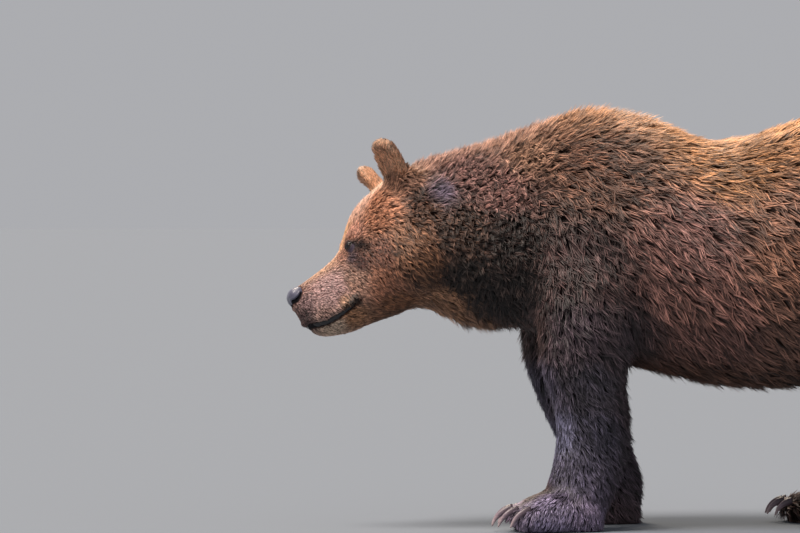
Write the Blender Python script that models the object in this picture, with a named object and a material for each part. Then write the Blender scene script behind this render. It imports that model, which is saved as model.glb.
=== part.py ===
"""Brown bear, life size, standing on all fours with its head lowered and turned a little to its left.

The outline is that of the live animal out to the tips of its coat. Metres, +Z up. The bear faces -X
and its left side faces -Y. The floor is z = 0. The body is lofted whole from rows of named sizes,
blended into one skin, parted by thin cuts, and then nose, eyes and claws are set into it.
"""

import math

import bmesh
import bpy
import numpy as np
from mathutils import Matrix, Vector
from mathutils.kdtree import KDTree

# Fits between neighbouring solids, and the fineness of the blend.
GAP = 0.0004
BLEND_VOXEL = 0.0065
BLEND_PASSES = 26
BODY_TRIANGLES = 4400
HEAD_COARSENESS = 0.34
FOOT_COARSENESS = 0.66
LEG_COARSENESS = 0.80
LEG_TOP = 0.34
RING_POINTS = 40
ROWS_PER_GAP = 5

# How far each side lies to the left. In the world the left is -Y, in the head and feet it is +Y.
SIDES = {"left": 1.0, "right": -1.0}

# The head's own frame: X runs from the skull's root to the nose, Y to the bear's left, Z up.
SKULL_ROOT = Vector((-0.498, -0.030, 0.628))
HEAD_PITCH = math.radians(28.5)
HEAD_YAW = math.radians(14.5)
HEAD_ROLL = math.radians(8.0)

# Neck and trunk: x, y of the middle, top, bottom, half width, and how high up the widest part lies.
TORSO = (
    (-0.540, -0.036, 0.772, 0.500, 0.118, 0.52),
    (-0.490, -0.030, 0.792, 0.466, 0.141, 0.50),
    (-0.440, -0.023, 0.812, 0.438, 0.152, 0.48),
    (-0.385, -0.014, 0.828, 0.424, 0.160, 0.46),
    (-0.330, -0.007, 0.846, 0.424, 0.170, 0.45),
    (-0.270, -0.002, 0.869, 0.418, 0.186, 0.44),
    (-0.200, 0.000, 0.895, 0.392, 0.204, 0.43),
    (-0.130, 0.000, 0.906, 0.366, 0.214, 0.43),
    (-0.050, 0.000, 0.893, 0.342, 0.218, 0.44),
    (0.040, 0.000, 0.859, 0.318, 0.226, 0.46),
    (0.124, 0.000, 0.836, 0.302, 0.238, 0.47),
    (0.220, 0.000, 0.851, 0.294, 0.250, 0.48),
    (0.313, 0.000, 0.880, 0.298, 0.254, 0.50),
    (0.420, 0.000, 0.897, 0.312, 0.248, 0.52),
    (0.520, 0.000, 0.891, 0.344, 0.234, 0.54),
    (0.620, 0.000, 0.855, 0.398, 0.206, 0.56),
    (0.700, 0.000, 0.789, 0.468, 0.156, 0.56),
    (0.750, 0.000, 0.716, 0.546, 0.096, 0.54),
)
TORSO_ROUNDNESS = 2.15
LEG_ROUNDNESS = 2.1
FOOT_ROUNDNESS = 2.7
NOSE_ROUNDNESS = 2.4

# Head, in its own frame: x forward, top, bottom, half width, how high up the widest part lies.
SKULL = (
    (-0.095, 0.148, -0.150, 0.128, 0.50),
    (-0.050, 0.151, -0.162, 0.140, 0.48),
    (0.000, 0.145, -0.160, 0.146, 0.46),
    (0.045, 0.139, -0.150, 0.143, 0.44),
    (0.085, 0.130, -0.134, 0.132, 0.42),
    (0.124, 0.111, -0.124, 0.114, 0.40),
    (0.153, 0.084, -0.119, 0.095, 0.42),
    (0.178, 0.060, -0.115, 0.079, 0.42),
    (0.205, 0.048, -0.112, 0.068, 0.44),
    (0.237, 0.041, -0.109, 0.062, 0.46),
    (0.268, 0.037, -0.102, 0.057, 0.48),
    (0.292, 0.034, -0.093, 0.050, 0.50),
    (0.307, 0.030, -0.085, 0.043, 0.50),
    (0.318, 0.026, -0.072, 0.035, 0.50),
    (0.326, 0.016, -0.056, 0.024, 0.50),
    (0.329, 0.004, -0.042, 0.014, 0.50),
)
SKULL_ROUNDNESS = 2.3

# Rounded forms laid over the skull, in its frame and once on each side: centre, half sizes.
SKULL_FORMS = {
    "brow": ((0.132, 0.042, 0.058), (0.040, 0.034, 0.028)),
    "cheek": ((0.066, 0.074, -0.036), (0.088, 0.074, 0.086)),
    "temple": ((0.030, 0.066, 0.072), (0.080, 0.056, 0.060)),
    "upper_lip": ((0.258, 0.029, -0.040), (0.056, 0.030, 0.032)),
}

# Ears, in the head's frame, for the left one. The right one mirrors it.
EAR_MIDDLE = Vector((0.014, 0.112, 0.155))
EAR_HALF = Vector((0.024, 0.047, 0.062))
EAR_LEAN_OUT = math.radians(26.0)
EAR_TURN_OUT = math.radians(16.0)
EAR_CROWN_MIDDLE = Vector((-0.002, 0.0, 0.030))
EAR_CROWN_HALF = Vector((0.025, 0.042, 0.031))
EAR_ROOT_MIDDLE = Vector((-0.004, 0.094, 0.108))
EAR_ROOT_HALF = Vector((0.046, 0.044, 0.042))
EAR_BOWL_MIDDLE = Vector((0.022, 0.0, 0.004))
EAR_BOWL_DEPTH = 0.020
EAR_BOWL_WIDTH = 0.030
EAR_CUT = Vector((0.010, 0.098, 0.126))
EAR_CUT_NORMAL = Vector((0.05, 0.45, 0.89))
EAR_CUT_HALF = 0.074

EYE_MIDDLE = Vector((0.168, 0.056, 0.046))
EYE_RADIUS = 0.0125
EYE_INWARDS = Vector((-0.30, -0.93, -0.20))
SOCKET_DEPTH = 0.007
SOCKET_WIDTH = 0.021

# Nose pad: x, top, bottom, half width, in the head's frame.
NOSE_PAD = (
    (0.284, 0.026, 0.006, 0.014),
    (0.295, 0.033, 0.000, 0.024),
    (0.308, 0.036, -0.006, 0.030),
    (0.319, 0.035, -0.009, 0.030),
    (0.328, 0.031, -0.009, 0.026),
    (0.332, 0.026, -0.004, 0.018),
)

# Mouth: the slit's height at the nose end and at its corner, and where the corner and throat lie.
MOUTH_FRONT = Vector((0.345, 0.0, -0.058))
MOUTH_CORNER = Vector((0.206, 0.0, -0.066))
JAW_THROAT = Vector((0.120, 0.0, -0.200))

# Legs: x, y outwards, z, half depth fore and aft, half width, from inside the trunk to the floor.
LEGS = {
    "fore_left": (
        (-0.140, 0.128, 0.660, 0.100, 0.060),
        (-0.150, 0.148, 0.560, 0.116, 0.078),
        (-0.152, 0.152, 0.470, 0.112, 0.086),
        (-0.156, 0.150, 0.400, 0.106, 0.084),
        (-0.157, 0.145, 0.335, 0.095, 0.078),
        (-0.146, 0.140, 0.280, 0.087, 0.071),
        (-0.138, 0.137, 0.235, 0.084, 0.067),
        (-0.139, 0.135, 0.180, 0.083, 0.064),
        (-0.153, 0.133, 0.120, 0.079, 0.064),
        (-0.171, 0.132, 0.062, 0.072, 0.066),
        (-0.178, 0.132, 0.015, 0.060, 0.062),
    ),
    "fore_right": (
        (-0.150, 0.128, 0.660, 0.100, 0.060),
        (-0.165, 0.148, 0.560, 0.116, 0.078),
        (-0.180, 0.152, 0.470, 0.113, 0.086),
        (-0.187, 0.150, 0.400, 0.106, 0.084),
        (-0.184, 0.145, 0.335, 0.095, 0.078),
        (-0.171, 0.140, 0.280, 0.088, 0.071),
        (-0.152, 0.137, 0.230, 0.085, 0.067),
        (-0.130, 0.135, 0.180, 0.084, 0.064),
        (-0.100, 0.133, 0.120, 0.078, 0.064),
        (-0.090, 0.132, 0.062, 0.070, 0.066),
        (-0.094, 0.132, 0.015, 0.058, 0.062),
    ),
    "hind_left": (
        (0.520, 0.110, 0.740, 0.150, 0.080),
        (0.520, 0.138, 0.640, 0.178, 0.104),
        (0.505, 0.150, 0.530, 0.180, 0.112),
        (0.486, 0.155, 0.430, 0.156, 0.106),
        (0.496, 0.154, 0.345, 0.126, 0.094),
        (0.526, 0.151, 0.270, 0.103, 0.082),
        (0.554, 0.149, 0.200, 0.085, 0.072),
        (0.566, 0.148, 0.140, 0.075, 0.066),
        (0.564, 0.148, 0.085, 0.068, 0.062),
        (0.558, 0.148, 0.025, 0.062, 0.056),
    ),
    "hind_right": (
        (0.520, 0.110, 0.740, 0.150, 0.080),
        (0.512, 0.138, 0.640, 0.178, 0.104),
        (0.488, 0.150, 0.530, 0.180, 0.112),
        (0.452, 0.155, 0.430, 0.156, 0.106),
        (0.438, 0.154, 0.345, 0.126, 0.094),
        (0.444, 0.151, 0.270, 0.103, 0.082),
        (0.456, 0.149, 0.200, 0.085, 0.072),
        (0.458, 0.148, 0.140, 0.075, 0.066),
        (0.452, 0.148, 0.085, 0.068, 0.062),
        (0.446, 0.148, 0.025, 0.062, 0.056),
    ),
}

# Feet: distance from the heel forwards, height, half width. The soles are cut flat at the floor.
FORE_FOOT = (
    (-0.004, 0.050, 0.036),
    (0.018, 0.082, 0.060),
    (0.060, 0.098, 0.071),
    (0.110, 0.090, 0.077),
    (0.150, 0.074, 0.077),
    (0.178, 0.058, 0.068),
)
HIND_FOOT = (
    (-0.004, 0.056, 0.030),
    (0.022, 0.092, 0.050),
    (0.085, 0.104, 0.058),
    (0.145, 0.088, 0.064),
    (0.192, 0.070, 0.067),
    (0.220, 0.054, 0.061),
)
FOOT_WIDEST = 0.36
SOLE_DROP = 0.008
# Where each heel stands, how far out, how far the toes turn out, and the foot's rows.
FEET = {
    "fore_left": (-0.122, 0.132, math.radians(9.0), FORE_FOOT),
    "fore_right": (-0.030, 0.132, math.radians(-4.0), FORE_FOOT),
    "hind_left": (0.628, 0.148, math.radians(8.0), HIND_FOOT),
    "hind_right": (0.516, 0.148, math.radians(8.0), HIND_FOOT),
}
TOES = 5
TOE_HALF = Vector((0.034, 0.0190, 0.027))
TOE_LEVEL = 0.034
TOE_ARC_DROP = 0.026
TOE_SPLAY = math.radians(8.0)
CLAW_LENGTH = {"fore": 0.046, "hind": 0.036}
CLAW_ROOT_RADIUS = 0.0080
CLAW_TIP_RADIUS = 0.0012
CLAW_FLATNESS = 0.62
CLAW_RINGS = 5
CLAW_SIDES = 6
CLAW_BURIED = 0.014
CLAW_LEVEL = 0.010
CLAW_DIP = math.radians(6.0)
CLAW_CURL = math.radians(66.0)
CLAW_CLEARANCE = 0.0025

TAIL_ROOT = Vector((0.722, 0.0, 0.708))
TAIL_TIP = Vector((0.815, 0.0, 0.606))
TAIL_RADII = (0.040, 0.042, 0.040, 0.037, 0.022)
TAIL_FLATNESS = 0.8

# Where the body is parted: each cut's middle, its normal, and how far it reaches across and up.
# The neck's cut is in the head's frame.
NECK_CUT = (Vector((-0.018, 0.0, 0.0)), Vector((1.0, 0.0, 0.30)), 0.22, 0.24)
CHEST_CUT = (Vector((-0.290, 0.0, 0.660)), Vector((-0.94, 0.0, 0.34)), 0.27, 0.29)
TAIL_CUT = (Vector((0.778, 0.0, 0.650)), Vector((0.90, 0.0, -0.44)), 0.060, 0.056)
MOUTH_CUT_HALF = 0.16
# Leg cuts: x and z where the top cut meets the middle of the body, its half length, its slopes
# outwards and rearwards in degrees, and the levels of the two lower cuts.
LEG_CUTS = {
    "fore": (-0.160, 0.333, 0.150, 27.0, -12.0, 0.270, 0.094),
    "hind": (0.480, 0.268, 0.215, 35.0, 15.0, 0.255, 0.104),
}
LEG_CUT_REACH = 0.24
JOINT_CUT_HALF = 0.130
LEG_NODES = {
    "fore": ("upper_arm", "forearm", "fore_paw"),
    "hind": ("thigh", "shank", "hind_paw"),
}

# sRGB colours of the plain solids.
COLOURS = {
    "coat_brown": ((0.330, 0.205, 0.130), 0.85),
    "coat_dark": ((0.110, 0.080, 0.070), 0.85),
    "nose_skin": ((0.060, 0.060, 0.070), 0.45),
    "eye": ((0.050, 0.030, 0.020), 0.10),
    "claw": ((0.420, 0.330, 0.250), 0.40),
}


def clear_scene():
    for thing in list(bpy.data.objects):
        bpy.data.objects.remove(thing)


def head_matrix():
    """From the head's own frame to the bear's: nose down, turned to the left and rolled."""
    to_front = Matrix.Rotation(math.pi, 4, "Z")
    pitch = Matrix.Rotation(HEAD_PITCH, 4, "Y")
    yaw = Matrix.Rotation(HEAD_YAW, 4, "Z")
    roll = Matrix.Rotation(HEAD_ROLL, 4, "X")
    return Matrix.Translation(SKULL_ROOT) @ to_front @ pitch @ yaw @ roll


def on_side(place, way):
    """A place or direction given for the left side, taken to the side that is asked for."""
    return Vector((place[0], place[1] * way, place[2]))


def smoothed_rows(rows, per_gap=ROWS_PER_GAP):
    """The rows with more set between them, on a Catmull-Rom curve through every column."""
    table = np.array(rows, float)
    padded = np.vstack([2 * table[0] - table[1], table, 2 * table[-1] - table[-2]])
    made = []
    for i in range(1, len(padded) - 2):
        before, here, after, later = padded[i - 1 : i + 3]
        for step in range(per_gap):
            t = step / per_gap
            made.append(
                0.5
                * (
                    2 * here
                    + (after - before) * t
                    + (2 * before - 5 * here + 4 * after - later) * t**2
                    + (3 * here - before - 3 * after + later) * t**3
                )
            )
    return [*made, table[-1]]


def section(middle, side, up, half_width, above, below, roundness):
    """A closed ring of points: an ellipse with its own height above and below its widest line."""
    ring = []
    for i in range(RING_POINTS):
        angle = math.tau * i / RING_POINTS
        across, lift = math.cos(angle), math.sin(angle)
        power = 2.0 / roundness
        wide = math.copysign(abs(across) ** power, across) * half_width
        high = math.copysign(abs(lift) ** power, lift) * (above if lift > 0 else below)
        ring.append(middle + side * wide + up * high)
    return ring


def add_loft(mesh, rings):
    """Adds a closed tube through the rings to a bmesh, with flat ends."""
    loops = [[mesh.verts.new(point) for point in ring] for ring in rings]
    faces = []
    for near, far in zip(loops, loops[1:]):
        for i in range(len(near)):
            j = (i + 1) % len(near)
            faces.append(mesh.faces.new((near[i], near[j], far[j], far[i])))
    faces.append(mesh.faces.new(loops[0]))
    faces.append(mesh.faces.new(loops[-1]))
    bmesh.ops.recalc_face_normals(mesh, faces=faces)


def add_ball(mesh, matrix, half):
    """Adds an ellipsoid of the given half sizes, placed by the matrix."""
    place = matrix @ Matrix.Diagonal((*half, 1.0))
    bmesh.ops.create_icosphere(mesh, subdivisions=3, radius=1.0, matrix=place)


def add_torso(mesh):
    rings = []
    for x, y, top, bottom, half_width, share in smoothed_rows(TORSO):
        height = top - bottom
        middle = Vector((x, y, bottom + height * share))
        above, below = height * (1 - share), height * share
        side, up = Vector((0, 1, 0)), Vector((0, 0, 1))
        rings.append(section(middle, side, up, half_width, above, below, TORSO_ROUNDNESS))
    add_loft(mesh, rings)


def add_skull(mesh, head):
    rings = []
    for x, top, bottom, half_width, share in smoothed_rows(SKULL):
        height = top - bottom
        middle = Vector((x, 0.0, bottom + height * share))
        above, below = height * (1 - share), height * share
        side, up = Vector((0, 1, 0)), Vector((0, 0, 1))
        ring = section(middle, side, up, half_width, above, below, SKULL_ROUNDNESS)
        rings.append([head @ point for point in ring])
    add_loft(mesh, rings)
    for middle, half in SKULL_FORMS.values():
        for way in SIDES.values():
            add_ball(mesh, head @ Matrix.Translation(on_side(middle, way)), half)


def ear_matrix(way):
    """The ear's frame in the head's: its X is the way the bowl faces, its Z runs to the tip."""
    lean = Matrix.Rotation(-EAR_LEAN_OUT * way, 4, "X")
    turn = Matrix.Rotation(EAR_TURN_OUT * way, 4, "Z")
    return Matrix.Translation(on_side(EAR_MIDDLE, way)) @ lean @ turn


def add_ears(mesh, head):
    for way in SIDES.values():
        ear = head @ ear_matrix(way)
        add_ball(mesh, ear, EAR_HALF)
        add_ball(mesh, ear @ Matrix.Translation(EAR_CROWN_MIDDLE), EAR_CROWN_HALF)
        root = Matrix.Translation(on_side(EAR_ROOT_MIDDLE, way))
        add_ball(mesh, head @ root, EAR_ROOT_HALF)


def way_of(leg):
    return SIDES[leg.split("_")[1]]


def add_leg(mesh, leg):
    rings = []
    for x, out, z, half_depth, half_width in smoothed_rows(LEGS[leg]):
        middle = Vector((x, -out * way_of(leg), z))
        side, ahead = Vector((0, 1, 0)), Vector((-1, 0, 0))
        ring = section(middle, side, ahead, half_width, half_depth, half_depth, LEG_ROUNDNESS)
        rings.append(ring)
    add_loft(mesh, rings)


def foot_matrix(leg):
    """The foot's frame: X runs from the heel to the toes, Z up, its origin on the floor."""
    heel_x, out, toe_out, _ = FEET[leg]
    way = way_of(leg)
    turn = Matrix.Rotation(math.pi + toe_out * way, 4, "Z")
    return Matrix.Translation(Vector((heel_x, -out * way, 0.0))) @ turn


def toe_places(leg):
    """For each toe, its middle and the way it points, in the foot's frame."""
    reach, _, half_width = FEET[leg][-1][-1]
    for i in range(TOES):
        across = (i / (TOES - 1)) * 2.0 - 1.0
        middle = Vector((reach - TOE_ARC_DROP * across**2, across * half_width, TOE_LEVEL))
        yield middle, Matrix.Rotation(TOE_SPLAY * across, 4, "Z")


def add_foot(mesh, leg):
    place = foot_matrix(leg)
    rings = []
    for x, height, half_width in smoothed_rows(FEET[leg][-1]):
        widest = height * FOOT_WIDEST
        middle = Vector((x, 0.0, widest))
        side, up = Vector((0, 1, 0)), Vector((0, 0, 1))
        above, below = height - widest, widest + SOLE_DROP
        ring = section(middle, side, up, half_width, above, below, FOOT_ROUNDNESS)
        rings.append([place @ point for point in ring])
    add_loft(mesh, rings)
    for middle, turn in toe_places(leg):
        add_ball(mesh, place @ Matrix.Translation(middle) @ turn, TOE_HALF)


def add_tail(mesh):
    along = (TAIL_TIP - TAIL_ROOT).normalized()
    side = Vector((0, 1, 0))
    up = side.cross(along)
    rings = []
    for i, radius in enumerate(TAIL_RADII):
        middle = TAIL_ROOT.lerp(TAIL_TIP, i / (len(TAIL_RADII) - 1))
        height = radius * TAIL_FLATNESS
        rings.append(section(middle, side, up, radius, height, height, 2.0))
    add_loft(mesh, rings)


def new_object(name, mesh):
    made = bpy.data.objects.new(name, mesh)
    bpy.context.scene.collection.objects.link(made)
    return made


def object_from(name, shape):
    """A new object from a bmesh, which is freed."""
    mesh = bpy.data.meshes.new(name)
    shape.to_mesh(mesh)
    shape.free()
    return new_object(name, mesh)


def bake_modifiers(thing):
    """Applies every modifier of the object to its mesh."""
    bpy.context.view_layer.update()
    graph = bpy.context.evaluated_depsgraph_get()
    mesh = bpy.data.meshes.new_from_object(thing.evaluated_get(graph))
    thing.modifiers.clear()
    old, thing.data = thing.data, mesh
    bpy.data.meshes.remove(old)


def points_of(thing):
    points = np.empty(len(thing.data.vertices) * 3, np.float32)
    thing.data.vertices.foreach_get("co", points)
    return points.reshape(-1, 3)


def in_head_frame(points, head):
    back = np.array(head.inverted())
    return points @ back[:3, :3].T + back[:3, 3]


def head_share(points, head):
    """For each point, 1 on the face and ears, falling to 0 where the neck begins."""
    ahead = in_head_frame(points, head)[:, 0]
    return np.clip((ahead + 0.06) / 0.08, 0.0, 1.0) * (points[:, 0] < SKULL_ROOT.x + 0.12)


def foot_share(points):
    return np.clip((0.11 - points[:, 2]) / 0.05, 0.0, 1.0)


def coarseness(points, head):
    """How freely facets may merge round each point: least on the head, most on the trunk."""
    free = np.where(points[:, 2] < LEG_TOP, LEG_COARSENESS, 1.0)
    free = np.where(points[:, 0] > TAIL_ROOT.x + 0.03, LEG_COARSENESS, free)
    free = free + (FOOT_COARSENESS - free) * foot_share(points)
    return free + (HEAD_COARSENESS - free) * head_share(points, head)


def add_weights(thing, name, weights):
    group = thing.vertex_groups.new(name=name)
    for i, weight in enumerate(weights):
        group.add([i], float(weight), "REPLACE")


def press(thing, middle, inwards, depth, width):
    """Dents the surface round a point by a smooth bowl."""
    points = points_of(thing)
    away = points - np.array(middle, np.float32)
    fade = np.exp(-(away**2).sum(1) / width**2)
    points += fade[:, None] * depth * np.array(inwards, np.float32)
    thing.data.vertices.foreach_set("co", points.ravel())


def shape_face(body, head):
    """Sinks the eye sockets and hollows the ears."""
    turn = head.to_3x3()
    for way in SIDES.values():
        eye = head @ on_side(EYE_MIDDLE, way)
        inwards = turn @ on_side(EYE_INWARDS, way)
        press(body, eye - inwards * EYE_RADIUS, inwards, SOCKET_DEPTH, SOCKET_WIDTH)
        ear = head @ ear_matrix(way)
        backwards = ear.to_3x3() @ Vector((-1.0, 0.0, 0.0))
        press(body, ear @ EAR_BOWL_MIDDLE, backwards, EAR_BOWL_DEPTH, EAR_BOWL_WIDTH)


def build_body(head):
    """The whole animal but for nose, eyes and claws, as one closed skin standing on flat soles."""
    shape = bmesh.new()
    add_torso(shape)
    add_skull(shape, head)
    add_ears(shape, head)
    add_tail(shape)
    for leg in LEGS:
        add_leg(shape, leg)
        add_foot(shape, leg)
    body = object_from("body", shape)
    blend = body.modifiers.new("blend", "REMESH")
    blend.mode = "VOXEL"
    blend.voxel_size = BLEND_VOXEL
    bake_modifiers(body)

    points = points_of(body)
    fine = np.maximum(head_share(points, head), foot_share(points))
    add_weights(body, "soften", 1.0 - 0.80 * fine)
    soften = body.modifiers.new("soften", "SMOOTH")
    soften.factor = 0.5
    soften.iterations = BLEND_PASSES
    soften.vertex_group = "soften"
    bake_modifiers(body)
    shape_face(body, head)

    body.vertex_groups.clear()
    add_weights(body, "keep", coarseness(points_of(body), head))
    reduce = body.modifiers.new("reduce", "DECIMATE")
    reduce.ratio = BODY_TRIANGLES / (2 * len(body.data.polygons))
    reduce.vertex_group = "keep"
    reduce.vertex_group_factor = 1.0
    reduce.use_collapse_triangulate = True
    bake_modifiers(body)
    flatten_soles(body)
    return body


def flatten_soles(body):
    """Cuts the feet off level at the floor."""
    shape = bmesh.new()
    shape.from_mesh(body.data)
    everything = [*shape.verts, *shape.edges, *shape.faces]
    cut = bmesh.ops.bisect_plane(
        shape, geom=everything, plane_co=(0, 0, 0), plane_no=(0, 0, 1), clear_inner=True
    )
    edges = [part for part in cut["geom_cut"] if isinstance(part, bmesh.types.BMEdge)]
    bmesh.ops.holes_fill(shape, edges=edges)
    bmesh.ops.triangulate(shape, faces=shape.faces)
    bmesh.ops.recalc_face_normals(shape, faces=shape.faces)
    shape.to_mesh(body.data)
    shape.free()


def plate(middle, normal, half_width, half_height, up=Vector((0, 0, 1))):
    """A thin plate across the body, which parts it there."""
    facing = normal.normalized()
    side = up.cross(facing).normalized()
    rise = facing.cross(side)
    shape = bmesh.new()
    turn = Matrix((side, rise, facing)).transposed().to_4x4()
    size = Matrix.Diagonal((2 * half_width, 2 * half_height, GAP, 1.0))
    place = Matrix.Translation(middle) @ turn @ size
    bmesh.ops.create_cube(shape, size=1.0, matrix=place)
    return object_from("cut", shape)


def leg_plates(leg):
    """The cuts at the top of a leg and across its two lower joints."""
    way = way_of(leg)
    x, z, half_length, out_slope, rear_slope, *levels = LEG_CUTS[leg.split("_")[0]]
    outwards = Vector((0.0, -way, math.tan(math.radians(out_slope)))).normalized()
    rearwards = Vector((1.0, 0.0, math.tan(math.radians(rear_slope)))).normalized()
    middle = Vector((x, 0.0, z)) + outwards * LEG_CUT_REACH
    normal = rearwards.cross(outwards) * -way
    yield plate(middle, normal, half_length, LEG_CUT_REACH, up=outwards)
    for level in levels:
        x, out = leg_middle(leg, level)
        middle = Vector((x, -out * way, level))
        up, ahead = Vector((0, 0, 1)), Vector((1, 0, 0))
        yield plate(middle, up, JOINT_CUT_HALF, JOINT_CUT_HALF, ahead)


def leg_middle(leg, level):
    """The leg's x and distance out at a height above the floor."""
    rows = np.array(LEGS[leg])[::-1]
    return np.interp(level, rows[:, 2], rows[:, 0]), np.interp(level, rows[:, 2], rows[:, 1])


def mouth_plates(head):
    """The mouth's slit and the cut behind it, which free the lower jaw."""
    turn = head.to_3x3()
    side = turn @ Vector((0, 1, 0))
    for start, end in ((MOUTH_FRONT, MOUTH_CORNER), (MOUTH_CORNER, JAW_THROAT)):
        run = (end - start).normalized()
        overlap = run * GAP
        middle = (start + end + overlap) / 2
        normal = turn @ Vector((-run.z, 0.0, run.x))
        half = (end - start).length / 2 + GAP
        yield plate(head @ middle, normal, MOUTH_CUT_HALF, half, up=side.cross(normal))


def ear_plates(head):
    for way in SIDES.values():
        normal = head.to_3x3() @ on_side(EAR_CUT_NORMAL, way)
        yield plate(head @ on_side(EAR_CUT, way), normal, EAR_CUT_HALF, EAR_CUT_HALF)


def nose_object(head, grow=0.0):
    """The nose pad, or with grow the pocket that it sits in."""
    rows = smoothed_rows(NOSE_PAD, 2)
    rings = []
    count = len(rows) - 1
    for i, (x, top, bottom, half_width) in enumerate(rows):
        x += grow * (2 * i / count - 1)
        middle = Vector((x, 0.0, (top + bottom) / 2))
        half_height = (top - bottom) / 2 + grow
        side, up = Vector((0, 1, 0)), Vector((0, 0, 1))
        width = half_width + grow
        ring = section(middle, side, up, width, half_height, half_height, NOSE_ROUNDNESS)
        rings.append([head @ point for point in ring[::3]])
    shape = bmesh.new()
    add_loft(shape, rings)
    return object_from("nose", shape)


def eye_object(head, way, grow=0.0):
    shape = bmesh.new()
    place = head @ Matrix.Translation(on_side(EYE_MIDDLE, way))
    bmesh.ops.create_icosphere(shape, subdivisions=2, radius=EYE_RADIUS + grow, matrix=place)
    return object_from("eye", shape)


def claw_object(leg, toe, grow=0.0):
    """A claw that curls forwards and down from its toe, or with grow the pocket for its root."""
    middle, turn = list(toe_places(leg))[toe]
    place = foot_matrix(leg) @ Matrix.Translation(middle) @ turn
    step = (CLAW_LENGTH[leg.split("_")[0]] + CLAW_BURIED) / (CLAW_RINGS - 1)
    point = Vector((TOE_HALF.x * 0.8 - CLAW_BURIED, 0.0, CLAW_LEVEL))
    rings = []
    for i in range(CLAW_RINGS):
        share = i / (CLAW_RINGS - 1)
        dip = CLAW_DIP + CLAW_CURL * share
        up = Vector((math.sin(dip), 0.0, math.cos(dip)))
        radius = CLAW_ROOT_RADIUS + (CLAW_TIP_RADIUS - CLAW_ROOT_RADIUS) * share**1.3 + grow
        ring = []
        for k in range(CLAW_SIDES):
            angle = math.tau * k / CLAW_SIDES
            across = Vector((0, 1, 0)) * math.cos(angle) * radius * CLAW_FLATNESS
            ring.append(place @ (point + across + up * math.sin(angle) * radius))
        rings.append(ring)
        point = point + Vector((math.cos(dip), 0.0, -math.sin(dip))) * step
    shape = bmesh.new()
    add_loft(shape, rings)
    lift = CLAW_CLEARANCE - min(vertex.co.z for vertex in shape.verts)
    bmesh.ops.translate(shape, verts=shape.verts, vec=(0, 0, max(lift, 0.0)))
    return object_from("claw", shape)


def subtract(body, cutters):
    """Takes the cutters out of the body one at a time, and removes them."""
    for cutter in cutters:
        cut = body.modifiers.new("part", "BOOLEAN")
        cut.operation = "DIFFERENCE"
        cut.object = cutter
        bake_modifiers(body)
        bpy.data.objects.remove(cutter)


def material(name):
    (red, green, blue), roughness = COLOURS[name]
    made = bpy.data.materials.get(name)
    if made is None:
        made = bpy.data.materials.new(name)
        made.use_nodes = True
        surface = made.node_tree.nodes["Principled BSDF"]
        linear = [part**2.2 for part in (red, green, blue)]
        surface.inputs["Base Color"].default_value = (*linear, 1.0)
        surface.inputs["Roughness"].default_value = roughness
    return made


def dress(thing, name, finish):
    thing.name = name
    thing.data.name = name
    thing.data.materials.clear()
    thing.data.materials.append(material(finish))


def loose_parts(body):
    """The body's separate shells, each as a new object."""
    whole = bmesh.new()
    whole.from_mesh(body.data)
    whole.verts.ensure_lookup_table()
    label = {}
    for start in whole.verts:
        if start.index in label:
            continue
        stack = [start]
        label[start.index] = start.index
        while stack:
            for edge in stack.pop().link_edges:
                for vertex in edge.verts:
                    if vertex.index not in label:
                        label[vertex.index] = start.index
                        stack.append(vertex)
    parts = []
    for mark in sorted(set(label.values())):
        part = whole.copy()
        others = [v for v in part.verts if label[v.index] != mark]
        bmesh.ops.delete(part, geom=others, context="VERTS")
        parts.append(object_from("piece", part))
    whole.free()
    bpy.data.objects.remove(body)
    return parts


def expected_places(head):
    """Where each flesh node's middle should lie, to name the parted pieces by."""
    places = {
        "trunk": Vector((0.20, 0.0, 0.60)),
        "neck": Vector((-0.42, -0.02, 0.63)),
        "head": head @ Vector((0.09, 0.0, 0.02)),
        "lower_jaw": head @ Vector((0.24, 0.0, -0.085)),
        "ear_left": head @ on_side(EAR_MIDDLE, SIDES["left"]),
        "ear_right": head @ on_side(EAR_MIDDLE, SIDES["right"]),
        "tail": TAIL_ROOT.lerp(TAIL_TIP, 0.7),
    }
    for leg in LEGS:
        kind, side = leg.split("_")
        levels = (0.42, 0.20, 0.05) if kind == "fore" else (0.48, 0.20, 0.05)
        for node, level in zip(LEG_NODES[kind], levels):
            x, out = leg_middle(leg, level)
            places[f"{node}_{side}"] = Vector((x, -out * way_of(leg), level))
    return places


def name_parts(parts, places):
    """Gives each piece the name whose place is nearest to its middle."""
    tree = KDTree(len(places))
    names = list(places)
    for i, name in enumerate(names):
        tree.insert(places[name], i)
    tree.balance()
    for part in parts:
        points = points_of(part)
        middle = Vector((points.max(0) + points.min(0)) / 2)
        _, index, _ = tree.find(middle)
        finish = "coat_dark" if "paw" in names[index] or "forearm" in names[index] else "coat_brown"
        dress(part, names[index], finish)


def centre_on_floor(things):
    """Moves everything so that the box round it is centred on the origin, with its base at z = 0."""
    points = np.vstack([points_of(thing) for thing in things])
    low, high = points.min(0).astype(float), points.max(0).astype(float)
    shift = Vector((-(low[0] + high[0]) / 2, -(low[1] + high[1]) / 2, -low[2]))
    for thing in things:
        thing.data.transform(Matrix.Translation(shift))


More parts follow.
